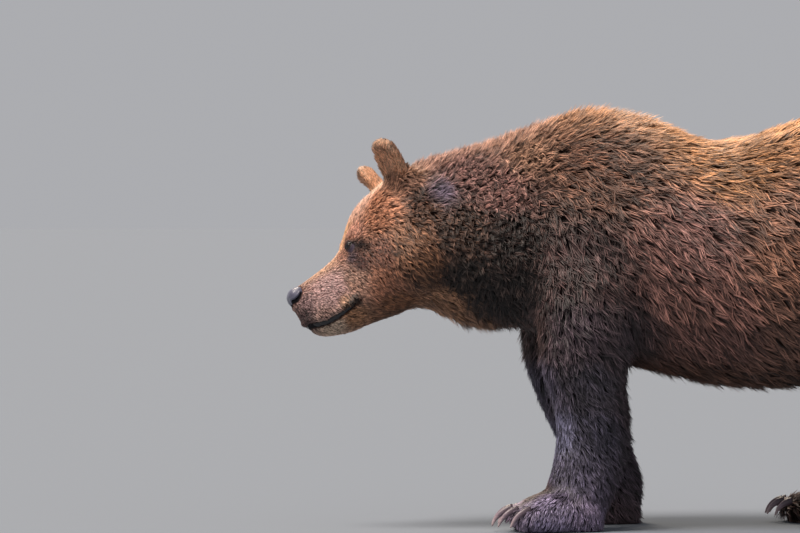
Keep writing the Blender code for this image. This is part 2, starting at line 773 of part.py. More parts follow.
def main():
    clear_scene()
    head = head_matrix()
    body = build_body(head)

    cutters = [nose_object(head, GAP)]
    cutters += [eye_object(head, way, GAP) for way in SIDES.values()]
    cutters += [claw_object(leg, toe, GAP) for leg in LEGS for toe in range(TOES)]
    cutters += [
        plate(head @ NECK_CUT[0], head.to_3x3() @ NECK_CUT[1], *NECK_CUT[2:]),
        plate(*CHEST_CUT),
        plate(*TAIL_CUT),
        *mouth_plates(head),
        *ear_plates(head),
    ]
    for leg in LEGS:
        cutters += list(leg_plates(leg))
    subtract(body, cutters)
    name_parts(loose_parts(body), expected_places(head))

    dress(nose_object(head), "nose", "nose_skin")
    for side, way in SIDES.items():
        dress(eye_object(head, way), f"eye_{side}", "eye")
    for leg in LEGS:
        for toe in range(TOES):
            dress(claw_object(leg, toe), f"claw_{leg}_{toe + 1}", "claw")
    centre_on_floor(list(bpy.context.scene.objects))


main()
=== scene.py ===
"""A brown bear, life size, dressed over its plain solids.

One skin replaces the flesh and lies inside it by the coat's depth. A coat of solid tufts grows from it,
and eyes, lids, nose, lips and claws are pieces of their own. Metres, +Z up, the bear faces -X.
"""

import logging
import math
from collections.abc import Iterable, Sequence
from dataclasses import dataclass, field
from enum import Enum

import bmesh
import bpy
import numpy as np
from mathutils import Matrix, Vector
from mathutils.bvhtree import BVHTree
from mathutils.kdtree import KDTree

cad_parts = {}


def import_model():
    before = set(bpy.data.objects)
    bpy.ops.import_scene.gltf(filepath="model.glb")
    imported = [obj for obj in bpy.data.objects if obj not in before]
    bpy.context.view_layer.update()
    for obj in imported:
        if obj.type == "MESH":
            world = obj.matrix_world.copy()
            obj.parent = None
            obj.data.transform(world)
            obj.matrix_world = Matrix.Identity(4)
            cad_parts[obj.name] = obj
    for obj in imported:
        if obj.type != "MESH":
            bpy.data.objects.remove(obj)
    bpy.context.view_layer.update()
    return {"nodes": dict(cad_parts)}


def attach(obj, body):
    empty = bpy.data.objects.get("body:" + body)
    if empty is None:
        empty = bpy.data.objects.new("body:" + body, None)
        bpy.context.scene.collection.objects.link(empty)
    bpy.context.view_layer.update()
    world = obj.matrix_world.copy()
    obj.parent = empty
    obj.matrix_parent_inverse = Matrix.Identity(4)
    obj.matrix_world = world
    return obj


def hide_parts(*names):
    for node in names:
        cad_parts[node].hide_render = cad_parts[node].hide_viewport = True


LOG = logging.getLogger("bear")
BODY = "root"
BAKE_MAP = "OFBake"
SEED = 20817
# Square centimetres in a square metre.
SQUARE_CM = 1e4

# How far the centred solids lie from the bear's own origin.
CENTRING = Vector((-0.0152, 0.0001, 0.0))
# The head's own frame: X runs from the skull's root to the nose, Y to the bear's left, Z up.
SKULL_ROOT = Vector((-0.498, -0.030, 0.628)) + CENTRING
HEAD_PITCH = math.radians(28.5)
HEAD_YAW = math.radians(14.5)
HEAD_ROLL = math.radians(8.0)

LENGTHS = ("upper_arm", "forearm", "fore_paw", "thigh", "shank", "hind_paw")
FLESH = (
    *("trunk", "neck", "head", "lower_jaw", "ear_left", "ear_right", "tail"),
    *(f"{length}_{side}" for length in LENGTHS for side in ("left", "right")),
)

Array = np.ndarray
Material = bpy.types.Material
Mesh = bpy.types.Mesh
Node = bpy.types.Node
Shape = bmesh.types.BMesh
Socket = bpy.types.NodeSocket
Thing = bpy.types.Object
Tree = bpy.types.NodeTree
Triple = tuple[float, float, float]
Span = tuple[float, float]


class Side(Enum):
    """A side of the bear. The value is the sign of Y in the head's frame."""

    LEFT = 1.0
    RIGHT = -1.0

    def of(self, place: Sequence[float]) -> Vector:
        """Takes a place given for the left side to this side."""
        return Vector((place[0], place[1] * self.value, place[2]))


class Part(Enum):
    """The pieces that the coat is made in, which keep each one's mesh small."""

    MUZZLE = "coat_muzzle"
    FACE = "coat_face"
    CHEEKS = "coat_cheeks"
    NECK = "coat_neck"
    SHOULDERS = "coat_shoulders"
    BACK = "coat_back"
    FLANKS = "coat_flanks"
    HAUNCHES = "coat_haunches"
    FORELEGS = "coat_forelegs"
    HINDLEGS = "coat_hindlegs"
    PAWS = "coat_paws"


class Zone(Enum):
    """The zones of the head whose mesh is split again, in order, each inside the one before."""

    FACE = "face"
    FEATURES = "features"
    EYES = "eyes"


def head_place() -> Matrix:
    """The matrix from the head's own frame to the bear's: nose down, turned to the left and rolled.

    Returns:
        The matrix.
    """
    to_front = Matrix.Rotation(math.pi, 4, "Z")
    pitch = Matrix.Rotation(HEAD_PITCH, 4, "Y")
    yaw = Matrix.Rotation(HEAD_YAW, 4, "Z")
    roll = Matrix.Rotation(HEAD_ROLL, 4, "X")
    return Matrix.Translation(SKULL_ROOT) @ to_front @ pitch @ yaw @ roll


HEAD = head_place()
HEAD_TURN = HEAD.to_3x3()
TO_HEAD = HEAD.inverted()
# How far from the skull's root the head's own forms reach.
HEAD_REACH = 0.40


def moved(points: Array, place: Matrix) -> Array:
    """Carries points, as rows of x, y, z, through a matrix."""
    table = np.array(place)
    return points @ table[:3, :3].T + table[:3, 3]


def linear(code: str) -> tuple[float, float, float]:
    """Turns an sRGB hex colour into linear red, green and blue.

    Args:
        code: The colour, such as "#2A160B".

    Returns:
        The three linear values.
    """
    parts = [int(code[i : i + 2], 16) / 255 for i in (1, 3, 5)]
    red, green, blue = (c / 12.92 if c <= 0.04045 else ((c + 0.055) / 1.055) ** 2.4 for c in parts)
    return red, green, blue


def unit(rows: Array) -> Array:
    """The rows made one long."""
    return rows / np.maximum(np.linalg.norm(rows, axis=-1, keepdims=True), 1e-9)


def fade(values: Array, low: float, high: float) -> Array:
    """A smooth step from 0 at low to 1 at high."""
    share = np.clip((values - low) / (high - low), 0.0, 1.0)
    return share * share * (3 - 2 * share)


# --------------------------------------------------------------------------- finishes


# Noise seldom leaves this range, so a pattern is stretched from it.
NOISE_RANGE = {"From_Min": 0.3, "From_Max": 0.7}


def wire(tree: Tree, node: Node, **wires: object) -> Node:
    """Gives a node its settings and links.

    Args:
        tree: The node tree that it is in.
        node: The node.
        **wires: A setting by its name, or an input by its name with spaces as underscores: a value,
            or an output socket of another node.

    Returns:
        The node.
    """
    sockets = {}
    for socket in node.inputs:
        sockets.setdefault(socket.name.replace(" ", "_"), socket)
    for name, value in wires.items():
        if name.startswith("in_"):
            socket = node.inputs[int(name[3:])]
        elif name in sockets:
            socket = sockets[name]
        else:
            setattr(node, name, value)
            continue
        if isinstance(value, Socket):
            tree.links.new(value, socket)
        elif isinstance(value, tuple) and len(value) == 3 and socket.type == "RGBA":
            socket.default_value = (*value, 1.0)
        else:
            socket.default_value = value
    return node


def add_node(tree: Tree, kind: str, **wires: object) -> Node:
    """Adds a node of a kind to the tree, with its settings and links as wire takes them."""
    return wire(tree, tree.nodes.new(kind), **wires)


def coloured_ramp(tree: Tree, share: Socket, stops: Sequence[tuple[float, str]]) -> Socket:
    """A colour that runs through hex colours at places from 0 to 1, as the share does.

    Args:
        tree: The node tree.
        share: What the colour follows.
        stops: Places and hex colours, in order.

    Returns:
        The colour's socket.
    """
    ramp = add_node(tree, "ShaderNodeValToRGB", Fac=share)
    points = ramp.color_ramp.elements
    while len(points) < len(stops):
        points.new(0.5)
    for point, (at, colour) in zip(points, stops):
        point.position, point.color = at, (*linear(colour), 1.0)
    return ramp.outputs["Color"]


@dataclass(frozen=True)
class Finish:
    """A finish that the others build on: each one lays its own colour, gloss and relief."""

    name: str

    def material(self) -> Material:
        """Makes the material, with its pattern placed on the object.

        Returns:
            The material.
        """
        made = bpy.data.materials.new(self.name)
        made.use_nodes = True
        tree = made.node_tree
        place = add_node(tree, "ShaderNodeTexCoord").outputs["Object"]
        self.lay(tree, tree.nodes["Principled BSDF"], place)
        return made

    def lay(self, tree: Tree, shader: Node, place: Socket) -> None:
        """Wires the shader, which reads its place on the object."""
        raise NotImplementedError

    def mottled(self, tree: Tree, colour: Socket, pattern: Socket, low: float, high: float) -> Socket:
        """Makes a colour darker and lighter by a pattern, from one share of its brightness to another."""
        value = add_node(tree, "ShaderNodeMapRange", Value=pattern, To_Min=low, To_Max=high, **NOISE_RANGE)
        return add_node(tree, "ShaderNodeHueSaturation", Color=colour, Value=value.outputs[0]).outputs["Color"]


@dataclass(frozen=True)
class HairFinish(Finish):
    """Bear's guard hair: keratin with a soft, slightly satin gloss, darker and duller towards the root, partly by
    its own colour and partly by painted shade where little light gets in.
    """

    roughness: float = 0.48
    gloss: float = 0.42
    # Single hairs are far finer than the tufts, so streaks about 3 mm across stand for them.
    streak: float = 330.0
    # Weather bleaches the coat in soft areas about a hand wide.
    bleach: float = 9.0

    def lay(self, tree: Tree, shader: Node, place: Socket) -> None:
        """Wires the shader to the tufts' own colours.

        Args:
            tree: The material's node tree.
            shader: Its shader.
            place: The place on the object.
        """
        coat = add_node(tree, "ShaderNodeAttribute", attribute_name="coat").outputs["Color"]
        shares = []
        for scale, detail, low, high in ((self.streak, 2.0, 0.72, 1.32), (self.bleach, 3.0, 0.88, 1.12)):
            noise = add_node(tree, "ShaderNodeTexNoise", Vector=place, Scale=scale, Detail=detail).outputs["Fac"]
            share = add_node(tree, "ShaderNodeMapRange", Value=noise, To_Min=low, To_Max=high, **NOISE_RANGE)
            shares.append(share.outputs[0])
        value = add_node(tree, "ShaderNodeMath", operation="MULTIPLY", in_0=shares[0], in_1=shares[1])
        tone = add_node(tree, "ShaderNodeHueSaturation", Color=coat, Value=value.outputs[0], Saturation=1.05)
        wire(tree, shader, Base_Color=tone.outputs["Color"], Roughness=self.roughness)
        wire(tree, shader, Specular_IOR_Level=self.gloss)


@dataclass(frozen=True)
class UnderfurAndShadeFinish(Finish):
    """The skin with its dense woolly underfur: matt, dark, and finely matted where the hair is short. Its dark tint
    is partly the underfur's own colour and partly painted shade in the gaps between the tufts.
    """

    roughness: float = 0.9
    gloss: float = 0.15
    # Matted wool in flecks about 4 mm and 1.5 mm across.
    wool: float = 240.0
    fluff: float = 700.0

    def lay(self, tree: Tree, shader: Node, place: Socket) -> None:
        """Wires the shader to the coat's own markings, which the skin carries darkened as painted shade between the
        tufts.

        Args:
            tree: The material's node tree.
            shader: Its shader.
            place: The place on the object.
        """
        coat = add_node(tree, "ShaderNodeAttribute", attribute_name="coat").outputs["Color"]
        wool = add_node(tree, "ShaderNodeTexNoise", Vector=place, Scale=self.wool, Detail=3.0).outputs["Fac"]
        fluff = add_node(tree, "ShaderNodeTexNoise", Vector=place, Scale=self.fluff, Detail=2.0).outputs["Fac"]
        height = add_node(tree, "ShaderNodeMath", operation="ADD", in_0=wool, in_1=fluff).outputs[0]
        bump = add_node(tree, "ShaderNodeBump", Height=height, Strength=0.6, Distance=0.002)
        wire(tree, shader, Base_Color=self.mottled(tree, coat, wool, 0.65, 1.25), Roughness=self.roughness)
        wire(tree, shader, Normal=bump.outputs["Normal"], Specular_IOR_Level=self.gloss)


@dataclass(frozen=True)
class BareSkinFinish(Finish):
    """Bare hide of nose, lips and lids: dark grey leather, a little moist, with fine cobbles."""

    colour: str
    worn: str
    roughness: float
    moist: float
    # The cobbles' size in millimetres, and how deep they are.
    cobble: float = 1.3
    depth: float = 0.0004
    # Worn areas about 8 mm across.
    wear: float = 120.0
    # Painted shade in the nostrils, where no light gets in.
    hollow_shade: str = "#050405"

    def lay(self, tree: Tree, shader: Node, place: Socket) -> None:
        """Wires the shader to the cobbles, the wear and the painted shade in the nostrils.

        Args:
            tree: The material's node tree.
            shader: Its shader.
            place: The place on the object.
        """
        cells = add_node(tree, "ShaderNodeTexVoronoi", Vector=place, Scale=1000.0 / self.cobble)
        cloud = add_node(tree, "ShaderNodeTexNoise", Vector=place, Scale=self.wear, Detail=4.0).outputs["Fac"]
        blend = {"kind": "ShaderNodeMix", "data_type": "RGBA"}
        tone = add_node(tree, in_0=cloud, in_6=linear(self.colour), in_7=linear(self.worn), **blend)
        hollow = add_node(tree, "ShaderNodeAttribute", attribute_name="hollow").outputs["Fac"]
        hide = add_node(tree, in_0=hollow, in_6=tone.outputs[2], in_7=linear(self.hollow_shade), **blend)
        rough = add_node(
            tree,
            "ShaderNodeMapRange",
            Value=cloud,
            To_Min=self.roughness - 0.06,
            To_Max=self.roughness + 0.10,
            **NOISE_RANGE,
        )
        bump = add_node(
            tree, "ShaderNodeBump", Height=cells.outputs["Distance"], Strength=0.5, Distance=self.depth
        )
        wire(tree, shader, Base_Color=hide.outputs[2], Roughness=rough.outputs[0], Normal=bump.outputs["Normal"])
        wire(tree, shader, Coat_Weight=self.moist, Coat_Roughness=0.25)


@dataclass(frozen=True)
class EyeFinish(Finish):
    """A living eye: dark brown iris round a black pupil, dim white at the edge, wet and mirror-like."""

    iris: str = "#2A160B"
    rim: str = "#120A06"
    pupil: str = "#030202"
    white: str = "#241A17"
    # The iris has fibres about 1 mm apart.
    fibre: float = 900.0

    def lay(self, tree: Tree, shader: Node, place: Socket) -> None:
        """Wires the shader to rings that read how far each point lies from the eye's axis.

        Args:
            tree: The material's node tree.
            shader: Its shader.
            place: The place on the object.
        """
        away = add_node(tree, "ShaderNodeAttribute", attribute_name="away").outputs["Fac"]
        pupil, iris = ((0.0, self.pupil), (0.16, self.pupil)), ((0.19, self.iris), (0.36, self.iris))
        rings = coloured_ramp(tree, away, (*pupil, *iris, (0.44, self.rim), (0.50, self.white)))
        fibres = add_node(tree, "ShaderNodeTexNoise", Vector=place, Scale=self.fibre, Detail=2.0).outputs["Fac"]
        wire(tree, shader, Base_Color=self.mottled(tree, rings, fibres, 0.7, 1.4), Roughness=0.08, IOR=1.376)
        wire(tree, shader, Coat_Weight=0.5, Coat_Roughness=0.02)


@dataclass(frozen=True)
class HornFinish(Finish):
    """Claw horn: brown keratin with a mauve cast, polished by wear, paler to the tip and in its grain."""

    root: str = "#483B44"
    middle: str = "#7C6A74"
    tip: str = "#B8A3A4"
    # Grain lines about 0.6 mm apart run along the claw.
    grain: float = 1600.0

    def lay(self, tree: Tree, shader: Node, place: Socket) -> None:
        """Wires the shader to how far along the claw each point lies.

        Args:
            tree: The material's node tree.
            shader: Its shader.
            place: The place on the object.
        """
        along = add_node(tree, "ShaderNodeAttribute", attribute_name="along").outputs["Fac"]
        horn = coloured_ramp(tree, along, ((0.15, self.root), (0.55, self.middle), (1.0, self.tip)))
        stretch = add_node(tree, "ShaderNodeMapping", Vector=place, Scale=(0.08, 1.0, 0.25)).outputs[0]
        grain = add_node(tree, "ShaderNodeTexNoise", Vector=stretch, Scale=self.grain, Detail=2.0).outputs["Fac"]
        bump = add_node(tree, "ShaderNodeBump", Height=grain, Strength=0.3, Distance=0.0003)
        wire(tree, shader, Base_Color=self.mottled(tree, horn, grain, 0.75, 1.3), Roughness=0.34)
        wire(tree, shader, Normal=bump.outputs["Normal"])


@dataclass(frozen=True)
class FloorFinish(Finish):
    """A plain studio floor, matt and pale."""

    colour: str = "#7A8089"

    def lay(self, tree: Tree, shader: Node, place: Socket) -> None:
        """Wires the shader, which has no pattern."""
        wire(tree, shader, Base_Color=linear(self.colour), Roughness=0.9, Specular_IOR_Level=0.1)


# --------------------------------------------------------------------------- helpers for pieces


def object_from(name: str, shape: Shape) -> Thing:
    """Makes a shown object from a bmesh, which is freed.

    Args:
        name: The piece's name.
        shape: Its mesh, in place.

    Returns:
        The object, at the origin.
    """
    mesh = bpy.data.meshes.new(name)
    shape.to_mesh(mesh)
    shape.free()
    return shown(name, mesh)


def shown(name: str, mesh: Mesh) -> Thing:
    """Links a mesh to the scene as an object at the origin.

    Args:
        name: The object's name.
        mesh: Its mesh, in place.

    Returns:
        The object.
    """
    made = bpy.data.objects.new(name, mesh)
    bpy.context.scene.collection.objects.link(made)
    return made


def dress(piece: Thing, finish: Material) -> None:
    """Gives a piece its finish and its body.

    Args:
        piece: The piece.
        finish: Its material.
    """
    faces = piece.data.polygons
    piece.data.materials.clear()
    piece.data.materials.append(finish)
    faces.foreach_set("use_smooth", np.ones(len(faces), bool))
    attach(piece, BODY)
    LOG.info("%s: %d faces", piece.name, len(faces))


def rows_of(things: bpy.types.bpy_prop_collection, key: str, wide: int, kind: type = np.int32) -> Array:
    """One value of each of a mesh's things, as rows so wide.

    Args:
        things: The vertices, edges or other things.
        key: What is read of each.
        wide: How many numbers that is.
        kind: The type of the numbers.

    Returns:
        A row for each thing.
    """
    rows = np.empty(len(things) * wide, kind)
    things.foreach_get(key, rows)
    return rows.reshape(-1, wide)


def points_of(mesh: Mesh) -> Array:
    """The mesh's vertices as rows."""
    return rows_of(mesh.vertices, "co", 3, np.float32).astype(float)


def set_points(mesh: Mesh, points: Array) -> None:
    """Puts the vertices back after a move."""
    mesh.vertices.foreach_set("co", points.astype(np.float32).ravel())
    mesh.update()


def normals_of(mesh: Mesh) -> Array:
    """The normals at the mesh's vertices, as rows."""
    return rows_of(mesh.vertex_normals, "vector", 3, np.float32).astype(float)


def relaxed(mesh: Mesh, values: Array, passes: int, share: Array | float = 0.5) -> Array:
    """Draws each vertex's values towards its neighbours' mean.

    Args:
        mesh: The mesh whose edges join the neighbours.
        values: A row for each vertex.
        passes: How often.
        share: How far at each pass, for all or for each vertex.

    Returns:
        The relaxed rows.
    """
    near, far = rows_of(mesh.edges, "vertices", 2).T
    ends, others = np.concatenate([near, far]), np.concatenate([far, near])
    count = np.maximum(np.bincount(ends, minlength=len(values)), 1)[:, None]
    pull = share[:, None] if isinstance(share, np.ndarray) else share
    for _ in range(passes):
        mean = np.stack([np.bincount(ends, column[others], len(values)) for column in values.T], 1) / count
        values = values + (mean - values) * pull
    return values


def evened(mesh: Mesh, points: Array, passes: int, share: Array) -> Array:
    """Evens out facets without shrinking the form: each pass draws in and then pushes back out.

    Args:
        mesh: The mesh whose edges join the points.
        points: Its points.
        passes: How often.
        share: How far each point takes part, from 0 to 1.

    Returns:
        The evened points.
    """
    for _ in range(passes):
        points = relaxed(mesh, points, 1, 0.50 * share)
        points = relaxed(mesh, points, 1, -0.53 * share)
    return points


def apply_modifiers(thing: Thing) -> None:
    """Turns the object's modifiers into its own mesh.

    Args:
        thing: The object.
    """
    bpy.context.view_layer.update()
    graph = bpy.context.evaluated_depsgraph_get()
    mesh = bpy.data.meshes.new_from_object(thing.evaluated_get(graph))
    thing.modifiers.clear()
    old, thing.data = thing.data, mesh
    bpy.data.meshes.remove(old)


def put_attribute(mesh: Mesh, name: str, values: Array) -> None:
    """Stores a number or a colour for each vertex.

    Args:
        mesh: The mesh.
        name: The attribute's name.
        values: A number or a row of three for each vertex.
    """
    if values.ndim == 1:
        made = mesh.attributes.new(name, "FLOAT", "POINT")
        made.data.foreach_set("value", values.astype(np.float32))
    else:
        made = mesh.attributes.new(name, "FLOAT_COLOR", "POINT")
        rows = np.ones((len(values), 4), np.float32)
        rows[:, :3] = values
        made.data.foreach_set("color", rows.ravel())


def swept(shape: Shape, rings: Iterable[Sequence[Vector]]) -> None:
    """Extrudes a closed tube through rings of points, with both ends closed.

    Args:
        shape: The bmesh that it is added to.
        rings: The points of each ring, in order round it.
    """
    loop: list[bmesh.types.BMVert] = []
    for ring in rings:
        if not loop:
            made = bmesh.ops.create_circle(shape, cap_ends=True, segments=len(ring), radius=1.0)
            loop = made["verts"]
        else:
            near = {edge for vert in loop for edge in vert.link_edges}
            edges = [edge for edge in near if all(vert in loop for vert in edge.verts)]
            grown = bmesh.ops.extrude_edge_only(shape, edges=edges)["geom"]
            fresh = [part for part in grown if isinstance(part, bmesh.types.BMVert)]
            joined = {}
            for vert in fresh:
                for edge in vert.link_edges:
                    other = edge.other_vert(vert)
                    if other in loop:
                        joined[other] = vert
            loop = [joined[vert] for vert in loop]
        for vert, point in zip(loop, ring):
            vert.co = point
    bmesh.ops.contextual_create(shape, geom=loop)
    bmesh.ops.recalc_face_normals(shape, faces=shape.faces)


# --------------------------------------------------------------------------- the coat's map


@dataclass(frozen=True)
class Tract:
    """One area of the coat, given for the left side: where it lies and how its hair grows there."""

    part: Part
    at: Triple
    reach: float
    lie: Triple
    length: float
    lift: float
    frizz: float
    width: float
    crowd: float
    root: str
    tip: str
    on_head: bool = False


def on_head(part: Part, *facts: object) -> Tract:
    """A tract given in the head's frame, with +Y to the left."""
    return Tract(part, *facts, on_head=True)


# Each tract: middle, reach, the way the hair lies, length, lift in degrees, frizz, width, tufts to a
# square centimetre, colours at root and tip.
M, F, C = Part.MUZZLE, Part.FACE, Part.CHEEKS
HEAD_TRACTS = (
    on_head(M, (0.290, 0.000, 0.036), 0.014, (-1, 0.0, 0.1), 0.004, 14, 0.10, 0.0009, 60, "#5A4038", "#A98474"),
    on_head(M, (0.245, 0.000, 0.042), 0.030, (-1, 0.1, 0.1), 0.007, 15, 0.12, 0.0011, 46, "#905F45", "#D9AE93"),
    on_head(M, (0.255, 0.058, -0.010), 0.032, (-0.8, 0.1, -0.6), 0.008, 17, 0.15, 0.0012, 44, "#936861", "#E5BDB8"),
    on_head(M, (0.305, 0.034, -0.012), 0.012, (-0.9, 0.4, -0.4), 0.005, 15, 0.10, 0.0010, 60, "#684C4A", "#B79694"),
    on_head(M, (0.312, 0.020, -0.034), 0.015, (-0.4, 0.3, -0.9), 0.006, 18, 0.15, 0.0011, 54, "#221415", "#594444"),
    on_head(M, (0.285, 0.046, -0.050), 0.014, (-0.5, 0.1, -0.9), 0.008, 20, 0.18, 0.0011, 50, "#5D413C", "#C39E92"),
    on_head(M, (0.240, 0.060, -0.046), 0.014, (-0.5, 0.1, -0.9), 0.010, 24, 0.18, 0.0012, 46, "#875E4A", "#DBAE91"),
    on_head(M, (0.244, 0.062, -0.055), 0.010, (-0.05, 0.1, -1), 0.012, 26, 0.20, 0.0013, 50, "#0C0706", "#2C201A"),
    on_head(M, (0.230, 0.065, -0.053), 0.014, (0.0, 0.1, -1), 0.015, 26, 0.20, 0.0014, 50, "#0A0605", "#261B16"),
    on_head(M, (0.219, 0.068, -0.054), 0.010, (0.05, 0.1, -1), 0.014, 28, 0.20, 0.0014, 46, "#100907", "#33241C"),
    on_head(M, (0.285, 0.036, -0.082), 0.018, (-0.8, 0.1, -0.6), 0.009, 26, 0.25, 0.0012, 44, "#6A5247", "#FADDC3"),
    on_head(M, (0.240, 0.050, -0.090), 0.022, (-0.9, 0.0, -0.4), 0.011, 20, 0.15, 0.0013, 38, "#5E3D2A", "#B08363"),
    on_head(M, (0.200, 0.070, -0.020), 0.026, (-0.5, 0.2, -0.9), 0.010, 18, 0.15, 0.0013, 36, "#6E483D", "#B9917E"),
    on_head(F, (0.182, 0.066, 0.029), 0.012, (-0.6, 0.2, -0.8), 0.004, 14, 0.08, 0.0011, 50, "#352A2F", "#5E4F56"),
    on_head(F, (0.176, 0.077, 0.006), 0.016, (-0.4, 0.2, -0.9), 0.009, 18, 0.15, 0.0013, 36, "#2B1813", "#66433C"),
    on_head(F, (0.189, 0.054, 0.046), 0.005, (-0.6, 0.4, -0.6), 0.003, 12, 0.05, 0.0010, 50, "#150B09", "#3A2622"),
    # Over the upper lid: partly dark hair, partly painted shadow under the brow.
    on_head(F, (0.170, 0.062, 0.062), 0.007, (-0.7, 0.3, 0.2), 0.004, 16, 0.10, 0.0011, 46, "#1C1214", "#4E3E42"),
    on_head(F, (0.190, 0.040, 0.044), 0.014, (-0.9, 0.3, -0.2), 0.006, 16, 0.10, 0.0011, 46, "#734A3E", "#C59582"),
    # The next three rows, near-black above and behind the eye, are partly dark hair and partly painted shadow under
    # the brow and the upper lid.
    on_head(F, (0.166, 0.070, 0.050), 0.011, (-0.8, 0.3, -0.5), 0.005, 14, 0.08, 0.0011, 46, "#080505", "#1E1517"),
    on_head(F, (0.157, 0.080, 0.041), 0.011, (-0.8, 0.2, -0.6), 0.006, 16, 0.10, 0.0012, 44, "#080505", "#251A1B"),
    on_head(F, (0.146, 0.089, 0.030), 0.008, (-0.5, 0.2, -0.9), 0.009, 18, 0.10, 0.0013, 40, "#1E110E", "#54392F"),
    on_head(F, (0.152, 0.060, 0.074), 0.018, (-0.7, 0.4, 0.5), 0.010, 24, 0.15, 0.0013, 36, "#AC6D54", "#F6BAA4"),
    on_head(F, (0.160, 0.000, 0.078), 0.026, (-0.7, 0.0, 0.7), 0.008, 20, 0.12, 0.0013, 36, "#BB7D52", "#F3C29C"),
    on_head(F, (0.105, 0.030, 0.120), 0.034, (-0.9, 0.15, 0.3), 0.014, 24, 0.25, 0.0017, 26, "#D59071", "#FFD2BC"),
    on_head(F, (0.035, 0.000, 0.148), 0.040, (-1, 0.0, 0.1), 0.020, 30, 0.45, 0.0020, 18, "#DF9577", "#FFE2C6"),
    on_head(F, (0.085, 0.098, 0.080), 0.034, (-0.8, 0.2, -0.5), 0.016, 24, 0.30, 0.0018, 22, "#8E563F", "#DD9E7E"),
    on_head(F, (0.125, 0.106, 0.000), 0.030, (-0.25, 0.2, -1), 0.013, 20, 0.15, 0.0016, 26, "#412117", "#8F6454"),
    on_head(C, (0.150, 0.086, -0.050), 0.030, (-0.3, 0.2, -1), 0.015, 20, 0.15, 0.0017, 24, "#532C1E", "#B07C64"),
    on_head(C, (0.150, 0.060, -0.100), 0.028, (-0.6, 0.1, -0.8), 0.018, 22, 0.15, 0.0018, 20, "#3C2113", "#8E6146"),
    on_head(C, (0.160, 0.000, -0.120), 0.028, (-1, 0.0, -0.2), 0.016, 20, 0.15, 0.0018, 18, "#2A180F", "#6E4D39"),
    on_head(C, (0.070, 0.135, -0.010), 0.044, (-0.15, 0.1, -1), 0.024, 26, 0.25, 0.0021, 15, "#4A2816", "#A4765B"),
    on_head(C, (0.060, 0.125, -0.075), 0.036, (-0.3, 0.0, -1), 0.028, 26, 0.28, 0.0023, 13, "#2B160C", "#714F3A"),
    on_head(C, (0.050, 0.060, -0.145), 0.040, (-0.7, 0.0, -0.7), 0.030, 28, 0.30, 0.0025, 10, "#452E20", "#B58769"),
    on_head(C, (0.005, 0.140, 0.030), 0.034, (-0.4, 0.2, -0.8), 0.019, 34, 0.70, 0.0020, 18, "#2B160E", "#765443"),
    on_head(C, (-0.020, 0.135, -0.050), 0.044, (-0.2, 0.1, -1), 0.023, 38, 0.85, 0.0021, 17, "#1A0D08", "#563F34"),
    on_head(C, (-0.002, 0.120, 0.106), 0.020, (-0.4, 0.4, -0.5), 0.018, 34, 0.40, 0.0019, 20, "#634032", "#C89981"),
    on_head(C, (0.004, 0.126, 0.068), 0.023, (-0.4, 0.4, -0.8), 0.022, 36, 0.80, 0.0022, 16, "#120908", "#4C362C"),
    on_head(C, (-0.028, 0.104, 0.137), 0.022, (-0.3, 0.1, 0.9), 0.060, 66, 0.60, 0.0022, 18, "#5A3A2A", "#C39A7E"),
)
N, S, B = Part.NECK, Part.SHOULDERS, Part.BACK
L, H = Part.FLANKS, Part.HAUNCHES
A, K, P = Part.FORELEGS, Part.HINDLEGS, Part.PAWS
